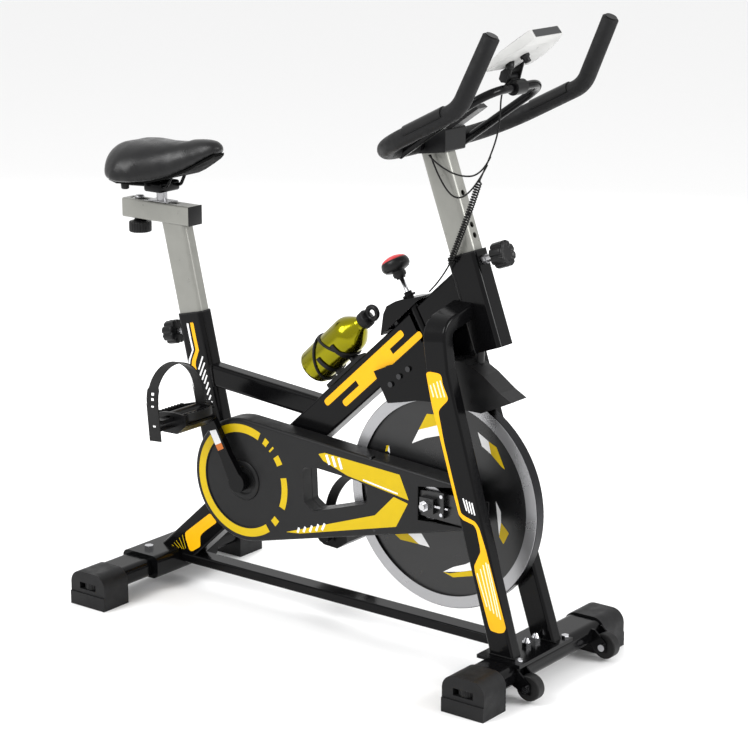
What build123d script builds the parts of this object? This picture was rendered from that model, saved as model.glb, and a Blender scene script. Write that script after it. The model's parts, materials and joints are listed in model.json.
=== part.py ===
from build123d import *
import os
from math import acos, atan2, cos, hypot, pi, radians, sin

# Spin bike.  Millimetres.  +X is forward, +Y is the rider's left, +Z is up.
# It is drawn from a point on the floor midway between the stabilisers.  The stored
# origin is on the floor under the middle of the whole bike, ORIGIN_SHIFT behind that point.

os.makedirs("parts", exist_ok=True)

# ---------------------------------------------------------------- driving dimensions
ORIGIN_SHIFT = 21.0
FRONT_X = 448.0          # centre of the front stabiliser
REAR_X = -488.0          # centre of the rear stabiliser
FRONT_HALF = 242.5       # half length of the front stabiliser over its end caps
REAR_HALF = 250.0        # half length of the rear stabiliser over its end caps
STAB_WIDE = 80.0         # flat oval stabiliser tube
STAB_HIGH = 40.0
STAB_LOW = 30.0          # clearance under the stabiliser tube
STAB_R = 16.0
WALL = 2.5
CAP_WIDE = 93.8          # plastic end cap
CAP_LONG = 72.7
CAP_HIGH = 74.0
LEVELLER_R = 20.0        # thumb wheel in each end cap
LEVELLER_Z = 44.0

CRANK_X = -215.3         # crank axis
CRANK_Z = 281.5
CRANK_LENGTH = 165.0
CRANK_ANGLE = 120.0      # right crank arm, from +X towards +Z
BEAM_ANGLE = 42.46       # main beam, from horizontal
BEAM_DEEP = 70.0
BEAM_WIDE = 40.0
PLATE_TOP = 77.0         # top of the rear saddle that the beam stands on

SEAT_TILT = 13.2         # seat tube leans back
SEAT_BASE = (-397.3, 570.0)   # a point on the seat tube's axis, X and Z
SEAT_POST = (32.0, 62.0, 9.0)     # wide, deep, corner radius
SEAT_TUBE = (38.0, 68.0, 11.0)
HEAD_TILT = 20.0         # head tube leans back
HEAD_BASE = (277.5, 800.0)
BAR_POST = (38.0, 58.0, 10.0)
HEAD_TUBE = (46.0, 66.0, 8.0)
POST_GAP = 0.3           # post to plastic guide bush

WHEEL_X = 243.0          # flywheel axle
WHEEL_Z = 320.5
WHEEL_Y = -12.0          # flywheel middle plane
WHEEL_R = 217.0
WHEEL_THICK = 25.0
BIG_PULLEY_R = 97.0
SMALL_PULLEY_R = 30.0
BELT_Y = -50.0
BELT_WIDE = 10.0
BELT_THICK = 3.0

GUARD_NEAR = -72.0       # outer face of the belt guard
GUARD_JOIN = -46.0
GUARD_FAR = -27.0
GUARD_WALL = 2.5
GUARD_R = 128.0

GRIP_R = 16.0            # foam grip
BAR_R = 11.0             # handlebar tube
LOOP_R = 8.0             # console loop tube


# ---------------------------------------------------------------- helpers
def save(node, *solids):
    """Write one node; a node of several solids is written as a compound."""
    pieces = []
    for solid in solids:
        pieces.extend((Pos(ORIGIN_SHIFT, 0, 0) * solid).solids())
    shape = pieces[0] if len(pieces) == 1 else Compound(children=pieces)
    export_step(shape, f"parts/{node}.step")


def block(x0, x1, y0, y1, z0, z1):
    box = Box(x1 - x0, y1 - y0, z1 - z0)
    return Pos((x0 + x1) / 2, (y0 + y1) / 2, (z0 + z1) / 2) * box


def prism(outline, y0, y1):
    """A plate with its outline given in X and Z."""
    wire = Polyline(*[(x, y0, z) for x, z in outline], close=True)
    return extrude(Face(Wire(wire.edges())), amount=y1 - y0, dir=(0, 1, 0))


def cyl(start, end, radius):
    plane = Plane(origin=start, z_dir=Vector(end) - Vector(start))
    length = (Vector(end) - Vector(start)).length
    return extrude(plane * Circle(radius), amount=length)


def cyl_y(x, z, radius, y0, y1):
    return cyl((x, y0, z), (x, y1, z), radius)


def cone(start, end, r0, r1):
    plane = Plane(origin=start, z_dir=Vector(end) - Vector(start))
    length = (Vector(end) - Vector(start)).length
    return plane * Cone(r0, r1, length, align=(Align.CENTER, Align.CENTER, Align.MIN))


def bar(start, end, wide, deep, radius, grow=0.0, across=(0, 1, 0)):
    """A solid rounded rectangular bar; grow widens it all round."""
    plane = Plane(origin=start, x_dir=across, z_dir=Vector(end) - Vector(start))
    sketch = RectangleRounded(wide + 2 * grow, deep + 2 * grow, radius + grow)
    return extrude(plane * sketch, amount=(Vector(end) - Vector(start)).length)


def tube(start, end, section, grow=0.0):
    """A hollow rounded rectangular tube with its ends open."""
    wide, deep, radius = section
    middle = Vector(end) - Vector(start)
    over = middle.normalized() * 5
    inner = bar(Vector(start) - over, Vector(end) + over, wide, deep, radius, grow - WALL)
    return bar(start, end, wide, deep, radius, grow) - inner


def seat_at(along, forward=0.0, y=0.0):
    """A point in the seat tube's frame: along its axis upwards, and forward across it."""
    a = radians(SEAT_TILT)
    x = SEAT_BASE[0] - along * sin(a) + forward * cos(a)
    z = SEAT_BASE[1] + along * cos(a) + forward * sin(a)
    return Vector(x, y, z)


def head_at(along, forward=0.0, y=0.0):
    a = radians(HEAD_TILT)
    x = HEAD_BASE[0] - along * sin(a) + forward * cos(a)
    z = HEAD_BASE[1] + along * cos(a) + forward * sin(a)
    return Vector(x, y, z)


def beam_at(along, above=0.0, y=0.0):
    """A point in the main beam's frame, from the crank axis."""
    a = radians(BEAM_ANGLE)
    x = CRANK_X + along * cos(a) - above * sin(a)
    z = CRANK_Z + along * sin(a) + above * cos(a)
    return Vector(x, y, z)


def hex_head(start, end, across_flats):
    plane = Plane(origin=start, z_dir=Vector(end) - Vector(start))
    sketch = RegularPolygon(across_flats / 2, 6, major_radius=False)
    return extrude(plane * sketch, amount=(Vector(end) - Vector(start)).length)


def fluted_knob(start, end, radius, flutes, flute_r):
    """A hand knob with flutes round its rim."""
    plane = Plane(origin=start, z_dir=Vector(end) - Vector(start))
    sketch = Circle(radius)
    sketch -= PolarLocations(radius + flute_r * 0.45, flutes) * Circle(flute_r)
    return extrude(plane * sketch, amount=(Vector(end) - Vector(start)).length)


# ---------------------------------------------------------------- base
STAB_MID = STAB_LOW + STAB_HIGH / 2


def stabiliser_bar(x, half, grow=0.0):
    return bar((x, -half, STAB_MID), (x, half, STAB_MID), STAB_WIDE, STAB_HIGH, STAB_R, grow, (1, 0, 0))


CAP_POCKET = 45.0        # room behind each end face for the thumb wheel
WHEEL_BRACKET_X = 511.0
WHEEL_AXLE_Z = 32.0
TRANSPORT_R = 25.0
TRANSPORT_WIDE = 22.0
TRANSPORT_Y = {"right": -113.0, "left": 150.0}


def wheel_bracket(y):
    """Two ears welded to the front of the stabiliser, for one transport wheel."""
    ears = []
    outline = [(478, 34), (478, 64), (492, 64), (WHEEL_BRACKET_X + 8, WHEEL_AXLE_Z + 10),
               (WHEEL_BRACKET_X + 8, WHEEL_AXLE_Z - 10), (WHEEL_BRACKET_X - 8, WHEEL_AXLE_Z - 10)]
    for side in (-1, 1):
        inner = y + side * (TRANSPORT_WIDE / 2 + 1)
        outer = inner + side * 3
        ear = prism(outline, min(inner, outer), max(inner, outer))
        ears.append(ear - cyl_y(WHEEL_BRACKET_X, WHEEL_AXLE_Z, 4.0, inner - 9, inner + 9))
    return ears[0] + ears[1]


def make_base():
    hollow = stabiliser_bar(FRONT_X, FRONT_HALF, -WALL)
    front = stabiliser_bar(FRONT_X, FRONT_HALF - CAP_POCKET) - hollow
    plate = block(400, 496, -128, 52, 68, 75) - stabiliser_bar(FRONT_X, 200, -0.5)
    front = front + plate
    for y in TRANSPORT_Y.values():
        front = front + (wheel_bracket(y) - stabiliser_bar(FRONT_X, 200, -0.5))
    save("front_stabilizer", front)

    tube_hollow = stabiliser_bar(REAR_X, REAR_HALF, -WALL)
    rear = stabiliser_bar(REAR_X, REAR_HALF - CAP_POCKET) - tube_hollow
    saddle = bar((REAR_X + 5, -95, 52.5), (REAR_X + 5, 95, 52.5), 98, 49, 14, 0, (1, 0, 0))
    saddle = saddle - stabiliser_bar(REAR_X, 200, -0.5)
    save("rear_stabilizer", rear + saddle)

    beam = tube((REAR_X + 54, 0, 57.5), (FRONT_X - STAB_WIDE / 2, 0, 57.5), (40.0, 20.0, 4.0))
    save("floor_beam", beam)

    save("foot_caps", *[foot_cap(x, half, side) for x, half in ((FRONT_X, FRONT_HALF), (REAR_X, REAR_HALF))
                        for side in (-1, 1)])
    for name, x, half, side in LEVELLERS:
        save(name, leveller(x, half, side))


LEVELLERS = [
    ("leveller_front_right", FRONT_X, FRONT_HALF, -1),
    ("leveller_front_left", FRONT_X, FRONT_HALF, 1),
    ("leveller_rear_right", REAR_X, REAR_HALF, -1),
    ("leveller_rear_left", REAR_X, REAR_HALF, 1),
]


def foot_cap(x, half, side):
    """Moulded end cap with a domed top, a window and a pocket for its thumb wheel."""
    end = side * half
    inner = side * (half - CAP_LONG)
    w = CAP_WIDE / 2
    low, high = min(end, inner), max(end, inner)
    dome = 27.0
    body = block(x - w, x + w, low, high, 0, CAP_HIGH)
    top_edges = body.edges().filter_by(Axis.Y).group_by(Axis.Z)[-1]
    body = fillet(top_edges, dome)
    set_back = side * 2.5
    skirt = block(x - w - 1, x + w + 1, min(end, end - set_back), max(end, end - set_back), 28, CAP_HIGH + 1)
    body = body - skirt
    body = body - stabiliser_bar(x, half - CAP_POCKET)
    pocket_end = side * (half - CAP_POCKET - 1)
    window = block(x - 22, x + 22, min(pocket_end, end + side), max(pocket_end, end + side),
                   LEVELLER_Z - 7, LEVELLER_Z + 7)
    body = body - window
    stud_y = side * (half - 4 - LEVELLER_R)
    body = body - cyl((x, stud_y, -1), (x, stud_y, LEVELLER_Z), 5.5)
    return body - cyl((x, stud_y, -1), (x, stud_y, 9), 15)


def leveller(x, half, side):
    """Ribbed thumb wheel on a threaded stud with a foot pad."""
    y = side * (half - 4 - LEVELLER_R)
    wheel = fluted_knob((x, y, LEVELLER_Z - 6), (x, y, LEVELLER_Z + 6), LEVELLER_R, 24, 1.8)
    stud = cyl((x, y, 4), (x, y, LEVELLER_Z), 5)
    pad = cyl((x, y, 1.5), (x, y, 6), 13)
    return wheel + stud + pad


def make_transport_wheels():
    for side, y in TRANSPORT_Y.items():
        half = TRANSPORT_WIDE / 2
        wheel = cyl_y(WHEEL_BRACKET_X, WHEEL_AXLE_Z, TRANSPORT_R, y - half, y + half)
        wheel = fillet(wheel.edges().filter_by(GeomType.CIRCLE), 3)
        wheel = wheel - cyl_y(WHEEL_BRACKET_X, WHEEL_AXLE_Z, 4.05, y - half - 1, y + half + 1)
        save(f"transport_wheel_{side}", wheel)


# ---------------------------------------------------------------- frame
BEAM_START = beam_at(-400)
BEAM_END = beam_at(705)
COLLAR_TOP = 18.5
SEAT_TUBE_END = -400.0
HEAD_LOW = -185.0
HEAD_HIGH = -3.0
BUSH_HIGH = 3.0
LEG = (30.0, 50.0, 5.0)     # wide, deep, corner radius
RIGHT_LEG_Y = -97.0
LEFT_LEG_Y = 21.0
BRAKE_TILT = 30.8
BRAKE_TOP = (154.7, 703.3)  # where the brake rod leaves its housing, X and Z
SHELL_R = 24.0              # bottom bracket shell
SHELL_HALF = 26.0


def brake_at(along, across=0.0, y=WHEEL_Y):
    """A point in the brake rod's frame: along it upwards, and across it forwards."""
    a = radians(BRAKE_TILT)
    x = BRAKE_TOP[0] - along * sin(a) + across * cos(a)
    z = BRAKE_TOP[1] + along * cos(a) + across * sin(a)
    return Vector(x, y, z)


def beam_bar(grow=0.0):
    return bar(BEAM_START, BEAM_END, BEAM_WIDE, BEAM_DEEP, 5, grow)


def head_bar(grow=0.0):
    return bar(head_at(HEAD_LOW), head_at(HEAD_HIGH), *HEAD_TUBE, grow)


def seat_bar():
    return bar(seat_at(SEAT_TUBE_END), seat_at(COLLAR_TOP), *SEAT_TUBE)


def make_frame():
    below = block(-700, 100, -100, 100, -200, 67.5)
    saddle = block(-700, REAR_X + 54, -100, 100, 0, PLATE_TOP)
    beam = tube(BEAM_START, BEAM_END, (BEAM_WIDE, BEAM_DEEP, 5.0))
    beam = beam - below - saddle - head_bar()
    beam = beam - cyl_y(CRANK_X, CRANK_Z, SHELL_R, -60, 60)
    shell = cyl_y(CRANK_X, CRANK_Z, SHELL_R, -SHELL_HALF, SHELL_HALF)
    shell = shell - cyl_y(CRANK_X, CRANK_Z, SHELL_R - 4, -60, 60)
    beam = beam + shell
    beam = beam - cyl(brake_at(-130), brake_at(30), 15)
    save("main_beam", beam)

    seat = tube(seat_at(SEAT_TUBE_END), seat_at(COLLAR_TOP), SEAT_TUBE) - beam_bar()
    seat = keep_highest(seat)
    seat = seat - cyl(seat_at(PIN_ALONG, -50), seat_at(PIN_ALONG), PIN_R + 0.3)
    save("seat_tube", seat)

    top = tube((-400, 0, 472.5), (0, 0, 438.5), (36.0, 45.0, 8.0))
    top = top - seat_bar() - beam_bar()
    save("top_tube", keep_nearest(top, -200))

    head = tube(head_at(HEAD_LOW), head_at(HEAD_HIGH), HEAD_TUBE)
    head = head - cyl(head_at(BAR_PIN_ALONG), head_at(BAR_PIN_ALONG, 50), PIN_R + 0.3)
    save("head_tube", head)
    save("tube_bushings", bushing(seat_at, COLLAR_TOP, SEAT_TUBE, SEAT_POST),
         bushing(head_at, HEAD_HIGH, HEAD_TUBE, BAR_POST))
    save("right_leg", right_leg())
    save("left_leg", left_leg())


def keep_highest(shape):
    return shape.solids().sort_by(Axis.Z)[-1]


def keep_nearest(shape, x):
    return min(shape.solids(), key=lambda solid: abs(solid.center().X - x))


def bushing(place, top, outer, post):
    """Plastic guide bush at the mouth of a tube, with a rim standing on the tube."""
    wide, deep, radius = post
    hole = bar(place(top - 60), place(top + 20), wide, deep, radius, POST_GAP)
    rim = bar(place(top), place(top + BUSH_HIGH), *outer)
    sleeve = bar(place(top - 12), place(top), *outer, -WALL)
    return rim + sleeve - hole


def right_leg():
    """Bent leg beside the belt guard: it rises from the base plate and turns in to the beam."""
    y = RIGHT_LEG_Y
    path = FilletPolyline((448, y, 60), (291, y, 596), (281, y, 676), (287, -10, 700), radius=[60, 32])
    section = Plane(origin=(448, y, 60), x_dir=(0, 1, 0), z_dir=(-157, 0, 536)) * RectangleRounded(*LEG)
    leg = sweep(section, path=path)
    floor = block(300, 600, -200, 200, 0, 75)
    return keep_nearest(leg - floor - beam_bar() - head_bar(), 360)


def left_leg():
    y = LEFT_LEG_Y
    leg = bar((461, y, 60), (266, y, 640), *LEG) + bar((268, y, 630), (262, y, 720), *LEG)
    floor = block(300, 600, -200, 200, 0, 75)
    return keep_nearest(leg - floor - beam_bar() - head_bar(), 360)


# ---------------------------------------------------------------- covers on the frame
PLATE_OUTLINE = [(84, 548), (118, 490), (150, 497), (190, 507), (235, 511), (262, 511), (262, 664),
                 (214, 636), (150, 578)]
PLATE_BOLTS = [(126.6, 529.0), (146.8, 548.0), (168.0, 566.0)]


def make_covers():
    near = prism(PLATE_OUTLINE, -31, -28)
    far = prism(PLATE_OUTLINE, 22, 25)
    bosses = []
    for along in (430, 560):
        spot = beam_at(along, -22)
        bosses.append(cyl_y(spot.X, spot.Z, 8, -28, -BEAM_WIDE / 2))
        bosses.append(cyl_y(spot.X, spot.Z, 8, BEAM_WIDE / 2, 22))
    near = near + bosses[0] + bosses[2]
    far = far + bosses[1] + bosses[3]
    for x, z in PLATE_BOLTS:
        near = near - cyl_y(x, z, 3.2, -40, -20)
    save("gusset_plates", near, far - left_leg())

    # Brake housing: a hollow cover standing on the beam.
    outline = [(97, 619), (103, 662), (111, 679), (131, 691), (148, 697.5), (171, 703), (196, 711)]
    cover = prism(outline, -26, 26)
    cover = fillet(cover.edges().filter_by(Axis.Y).group_by(Axis.X)[1], 6)
    hollow = prism([(108, 619), (108, 658), (114, 674), (132, 686), (149, 692.5), (171, 698), (205, 708),
                    (205, 600), (108, 600)], -23, 23)
    cover = cover - hollow - beam_bar() - cyl(brake_at(-60), brake_at(60), 8.5)
    tab = cyl(brake_at(-1), brake_at(2), 13) - cyl(brake_at(-9), brake_at(9), 8.5)
    save("brake_housing", keep_nearest(cover, 130), tab - cover)

    make_fender()
    make_guard()


def make_fender():
    """Plastic mudguard over the front of the flywheel, open below."""
    outer = [(262, 520), (262, 602), (300, 604), (320, 600), (350, 584), (388, 557), (414, 543),
             (382, 528), (346, 512), (289, 512)]
    inner = [(255, 500), (255, 599), (300, 601), (319, 597), (348, 581), (384, 555), (400, 545),
             (380, 533), (372, 500)]
    shell = prism(outer, -46, 4.5) - prism(inner, -43, 1.5)
    opening = [(255, 400), (255, 525), (289, 515), (346, 515), (400, 541), (440, 500), (400, 400)]
    shell = shell - prism(opening, -43, 1.5)
    boss = cyl((318, -12, 599), (320, -12, 640), 9) - head_bar()
    save("front_fender", keep_nearest(shell, 330) + keep_lowest(boss))


def keep_lowest(shape):
    return shape.solids().sort_by(Axis.Z)[0]


GUARD_FRONT_X = 338.0
WINDOW = [(-60, 338), (-26, 343), (78, 336), (101, 329), (98, 294), (-34, 252), (-57, 266)]
WINDOW_R = 8.0
AXLE_SLOT = [(221, 353), (306, 366), (330, 366), (330, 290), (306, 290), (221, 286)]
GUARD_SCREWS = [(108.0, 388.0), (117.0, 243.0)]


def guard_outline(grow):
    """Round at the crank, with two long sides that close towards the flywheel axle."""
    radius = GUARD_R + grow
    top = radians(83.6)
    low = radians(284.0)
    start = (CRANK_X + radius * cos(top), CRANK_Z + radius * sin(top))
    end = (CRANK_X + radius * cos(low), CRANK_Z + radius * sin(low))
    upper = (GUARD_FRONT_X + grow, 371 + grow)
    lower = (GUARD_FRONT_X + grow, 288 - grow)
    left = (CRANK_X - radius, CRANK_Z)
    return [start, left, end, lower, upper]


def guard_solid(grow, y0, y1):
    start, left, end, lower, upper = guard_outline(grow)
    points = [(x, y0, z) for x, z in (start, left, end, lower, upper)]
    edges = [ThreePointArc(points[0], points[1], points[2]), Line(points[2], points[3]),
             Line(points[3], points[4]), Line(points[4], points[0])]
    return extrude(Face(Wire(edges)), amount=y1 - y0, dir=(0, 1, 0))


def shrink(outline, amount):
    """Move each corner of an outline towards its middle, or away with a negative amount."""
    cx = sum(x for x, z in outline) / len(outline)
    cz = sum(z for x, z in outline) / len(outline)
    moved = []
    for x, z in outline:
        reach = hypot(x - cx, z - cz)
        k = (reach - amount) / reach
        moved.append((cx + (x - cx) * k, cz + (z - cz) * k))
    return moved


def rounded_prism(outline, y0, y1, radius):
    solid = prism(outline, y0, y1)
    return fillet(solid.edges().filter_by(Axis.Y), radius)


def make_guard():
    wall = GUARD_WALL
    tunnel_rim = shrink(WINDOW, -wall - 3)
    for name, y0, y1 in (("guard_outer", GUARD_NEAR, GUARD_JOIN), ("guard_inner", GUARD_JOIN, GUARD_FAR)):
        shell = guard_solid(0, y0, y1)
        if name == "guard_outer":
            front = shell.faces().sort_by(Axis.Y)[0]
            shell = fillet(front.edges(), 6)
            shell = shell - cyl_y(CRANK_X, CRANK_Z, 98, y0 - 1, y0 + 2)
            cavity = guard_solid(-wall, y0 + wall + 2, y1)
            hub_hole = cyl_y(CRANK_X, CRANK_Z, 14, -90, GUARD_JOIN)
            slot = prism(AXLE_SLOT, y0 - 5, y1) + block(320, 345, -67.5, -59.5, 288, 352)
        else:
            cavity = guard_solid(-wall, y0, y1 - wall)
            hub_hole = cyl_y(CRANK_X, CRANK_Z, SHELL_R + 1.5, GUARD_JOIN, 0)
            slot = cyl_y(WHEEL_X, WHEEL_Z, 26, -60, 0)
        tunnel = rounded_prism(tunnel_rim, y0 + 1, y1, WINDOW_R + wall)
        shell = (shell - cavity) + (tunnel & guard_solid(0, y0, y1))
        shell = shell - rounded_prism(WINDOW, -90, 0, WINDOW_R) - hub_hole - slot
        for x, z in GUARD_SCREWS:
            shell = shell - cyl_y(x, z, 2.5, -90, -60)
        save(name, shell.solids().sort_by(SortBy.VOLUME)[-1])


# ---------------------------------------------------------------- drive
PULLEY_HALF = 7.0
AXLE_R = 6.0
HUB_R = 24.0


def make_drive():
    half = WHEEL_THICK / 2
    disc = cyl_y(WHEEL_X, WHEEL_Z, WHEEL_R, WHEEL_Y - half, WHEEL_Y + half)
    disc = chamfer(disc.edges().filter_by(GeomType.CIRCLE), 1.5)
    for side in (-1, 1):
        face = WHEEL_Y + side * half
        groove = cyl_y(WHEEL_X, WHEEL_Z, 193, face - side * 5, face + side)
        disc = disc - (groove - cyl_y(WHEEL_X, WHEEL_Z, 45, face - side * 6, face + side))
    disc = disc - cyl_y(WHEEL_X, WHEEL_Z, HUB_R, -60, 60)
    save("flywheel_disc", disc)

    far = WHEEL_Y + half + 1.5
    hub = cyl_y(WHEEL_X, WHEEL_Z, HUB_R, BELT_Y + PULLEY_HALF, far)
    hub = hub + cyl_y(WHEEL_X, WHEEL_Z, SMALL_PULLEY_R + 3, BELT_Y - PULLEY_HALF, BELT_Y - PULLEY_HALF + 1.5)
    hub = hub + cyl_y(WHEEL_X, WHEEL_Z, SMALL_PULLEY_R, BELT_Y - PULLEY_HALF, BELT_Y + PULLEY_HALF)
    hub = hub - cyl_y(WHEEL_X, WHEEL_Z, 16, -80, 40)
    near_race = bearing(WHEEL_X, WHEEL_Z, 16, AXLE_R + 0.05, BELT_Y - PULLEY_HALF + 1, 10)
    far_race = bearing(WHEEL_X, WHEEL_Z, 16, AXLE_R + 0.05, far - 11, 10)
    save("flywheel_hub", hub, near_race, far_race)

    big = cyl_y(CRANK_X, CRANK_Z, BIG_PULLEY_R, BELT_Y - PULLEY_HALF, BELT_Y + PULLEY_HALF)
    for side in (-1, 1):
        face = BELT_Y + side * PULLEY_HALF
        ring = cyl_y(CRANK_X, CRANK_Z, BIG_PULLEY_R - 9, face - side * 4.5, face + side)
        big = big - (ring - cyl_y(CRANK_X, CRANK_Z, 24, face - side * 5, face + side * 2))
    big = big - cyl_y(CRANK_X, CRANK_Z, SPINDLE_R, -90, 0)
    save("crank_pulley", big)
    save("drive_belt", drive_belt())

    spindle = cyl_y(CRANK_X, CRANK_Z, SPINDLE_R, -ARM_OUT + 2, ARM_OUT - 2)
    save("crank_spindle", spindle)
    near = bearing(CRANK_X, CRANK_Z, SHELL_R - 4, SPINDLE_R + 0.05, -SHELL_HALF + 1, 11)
    far_bearing = bearing(CRANK_X, CRANK_Z, SHELL_R - 4, SPINDLE_R + 0.05, SHELL_HALF - 12, 11)
    save("bottom_bracket_bearings", near, far_bearing)

    for side, sign in (("right", -1), ("left", 1)):
        save(f"crank_arm_{side}", crank_arm(sign))
        save(f"pedal_{side}", pedal_body(sign))
        save(f"pedal_strap_{side}", pedal_strap(sign))


def bearing(x, z, outer, inner, y0, wide):
    return cyl_y(x, z, outer, y0, y0 + wide) - cyl_y(x, z, inner, y0 - 1, y0 + wide + 1)


def drive_belt():
    """Flat belt round the two pulleys, as the hull of two discs less the hull inside it."""
    y0 = BELT_Y - BELT_WIDE / 2
    gap = 0.1
    outer = belt_loop(BIG_PULLEY_R + BELT_THICK, SMALL_PULLEY_R + BELT_THICK, y0, BELT_WIDE)
    inner = belt_loop(BIG_PULLEY_R + gap, SMALL_PULLEY_R + gap, y0 - 1, BELT_WIDE + 2)
    return outer - inner


def belt_loop(big, small, y0, wide):
    span = hypot(WHEEL_X - CRANK_X, WHEEL_Z - CRANK_Z)
    base = atan2(WHEEL_Z - CRANK_Z, WHEEL_X - CRANK_X)
    lean = acos((big - small) / span)
    a0, a1 = base + lean, base - lean

    def at(cx, cz, radius, angle):
        return (cx + radius * cos(angle), y0, cz + radius * sin(angle))
    p0 = at(CRANK_X, CRANK_Z, big, a0)
    p1 = at(CRANK_X, CRANK_Z, big, base + pi)
    p2 = at(CRANK_X, CRANK_Z, big, a1)
    q0 = at(WHEEL_X, WHEEL_Z, small, a1)
    q1 = at(WHEEL_X, WHEEL_Z, small, base)
    q2 = at(WHEEL_X, WHEEL_Z, small, a0)
    edges = [ThreePointArc(p0, p1, p2), Line(p2, q0), ThreePointArc(q0, q1, q2), Line(q2, p0)]
    return extrude(Face(Wire(edges)), amount=wide, dir=(0, 1, 0))


SPINDLE_R = 8.0
ARM_IN = 80.0            # crank arms, inner and outer faces
ARM_OUT = 94.0
PEDAL_IN = 105.0
PEDAL_OUT = 197.0
PEDAL_HALF = 44.0        # half length of the pedal body, fore and aft
PEDAL_RISE = 5.0        # right pedal's nose-up tilt at rest


def pedal_axis(sign):
    angle = radians(CRANK_ANGLE if sign < 0 else CRANK_ANGLE + 180)
    return CRANK_X + CRANK_LENGTH * cos(angle), CRANK_Z + CRANK_LENGTH * sin(angle)


def crank_arm(sign):
    """Tapered forged arm with its boss on the spindle and a pedal spindle screwed in."""
    x1, z1 = pedal_axis(sign)
    low, high = sorted((sign * ARM_IN, sign * ARM_OUT))
    dx, dz = (x1 - CRANK_X) / CRANK_LENGTH, (z1 - CRANK_Z) / CRANK_LENGTH
    outline = []
    for along, half in ((0, 17), (CRANK_LENGTH * 0.35, 12), (CRANK_LENGTH, 11)):
        outline.append((CRANK_X + dx * along - dz * half, CRANK_Z + dz * along + dx * half))
    for along, half in ((CRANK_LENGTH, 11), (CRANK_LENGTH * 0.35, 12), (0, 17)):
        outline.append((CRANK_X + dx * along + dz * half, CRANK_Z + dz * along - dx * half))
    arm = prism(outline, low, high)
    arm = arm + cyl_y(CRANK_X, CRANK_Z, 20, *sorted((sign * (ARM_IN - 4), sign * ARM_OUT)))
    arm = arm + cyl_y(x1, z1, 14, low, high)
    arm = arm - cyl_y(CRANK_X, CRANK_Z, SPINDLE_R, *sorted((sign * 60, sign * (ARM_OUT - 2))))
    pin = cyl_y(x1, z1, 6, *sorted((sign * (ARM_OUT - 4), sign * (PEDAL_OUT - 14))))
    return arm + pin


def pedal_plane(sign):
    """The pedal's frame: local x along the foot, local z up out of the tread."""
    x, z = pedal_axis(sign)
    rise = radians(PEDAL_RISE if sign < 0 else 0)
    middle = sign * (PEDAL_IN + PEDAL_OUT) / 2
    return Plane(origin=(x, middle, z), x_dir=(cos(rise), 0, sin(rise)), z_dir=(-sin(rise), 0, cos(rise)))


def pedal_body(sign):
    """Cage pedal: a barrel on the spindle, end plates, long rails and a toothed tread."""
    wide = PEDAL_OUT - PEDAL_IN
    half = PEDAL_HALF
    body = Rot(90, 0, 0) * Cylinder(13, wide)
    side_view = [(-half, -7), (-18, -28), (18, -30), (half, -12), (half, 9), (14, 13), (-14, 13), (-half, 7)]
    for end in (-1, 1):
        plate = prism(side_view, -3, 3)
        body = body + Pos(0, end * (wide / 2 - 3), 0) * plate
        body = body + Pos(end * (half - 5), 0, 0) * Box(10, wide, 14)
        body = body + Pos(end * (half - 24), 0, 0) * Box(4, wide, 14)
    belly = prism([(-38, -12), (-18, -28), (18, -30), (38, -15), (38, -11), (18, -25), (-18, -23), (-38, -8)],
                  -wide / 2, wide / 2)
    body = body + belly
    for step in range(9):
        y = -wide / 2 + 10 + step * (wide - 20) / 8
        for end in (-1, 1):
            body = body + Pos(end * (half - 5), y, 8) * Box(7, 4, 5)
    body = body + Pos(0, sign * (wide / 2 + 16), 0) * Box(24, 32.2, 8)
    body = body - Rot(90, 0, 0) * Cylinder(6.06, wide + 10)
    return pedal_plane(sign) * body


STRAP_WIDE = 24.0
STRAP_IN = 1.2           # gap from the crank arm's side of the pedal
STRAP_REACH = 42.0       # how far the loop stands outside the pedal
STRAP_HIGH = 106.0
STRAP_HOLES = (-26.0, 5.0, 20.0, 35.0)    # heights of the adjusting slots in the outer band


def pedal_strap(sign):
    """Stiff toe strap: it bulges outside the pedal and its tail hangs below."""
    wide = PEDAL_OUT - PEDAL_IN
    near = -wide / 2 - STRAP_IN
    far = wide / 2 + STRAP_REACH
    ring = strap_face(near - 2.4, far + 2.4, STRAP_HIGH + 2.4) - strap_face(near, far, STRAP_HIGH)
    plane = Plane(origin=(0, 0, 0), x_dir=(0, sign, 0), z_dir=(sign, 0, 0))
    strap = extrude(plane * ring, amount=STRAP_WIDE / 2, both=True)
    tab_y = sign * (wide / 2 + 24)
    strap = strap - Pos(0, tab_y, 0) * Box(24.4, 48, 8.4) - Rot(90, 0, 0) * Cylinder(13.5, 80 + wide / 2)
    tail_y = sign * (far + 1.2)
    tail = Pos(0, tail_y, -20) * Box(STRAP_WIDE, 2.4, 32) - Pos(0, tab_y, 0) * Box(24.4, 48, 8.4)
    strap = strap + tail
    for height in STRAP_HOLES:
        strap = strap - Pos(0, tail_y, height) * Box(9, 8, 5)
    return pedal_plane(sign) * strap


def strap_face(near, far, high):
    """The inside of the strap loop, seen along the foot."""
    middle = (near + far) / 2
    edges = [Line((near, -14), (near + 2, 40)), ThreePointArc((near + 2, 40), (middle, high), (far, 40)),
             Line((far, 40), (far, -14)), Line((far, -14), (near, -14))]
    return Face(Wire(edges))


# ---------------------------------------------------------------- seat
PIN_R = 5.0
PIN_ALONG = -16.0
BAR_PIN_ALONG = -21.0
RAIL_BACK = -578.0
RAIL_FRONT = -395.6
RAIL_LOW = 770.5
RAIL_HIGH = 810.0
RAIL_MID = (RAIL_LOW + RAIL_HIGH) / 2
STEM_X = -484.5
BOLT_X = -547.0
SLIDER_BACK = -566.0
SLIDER_FRONT = -448.0


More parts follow.
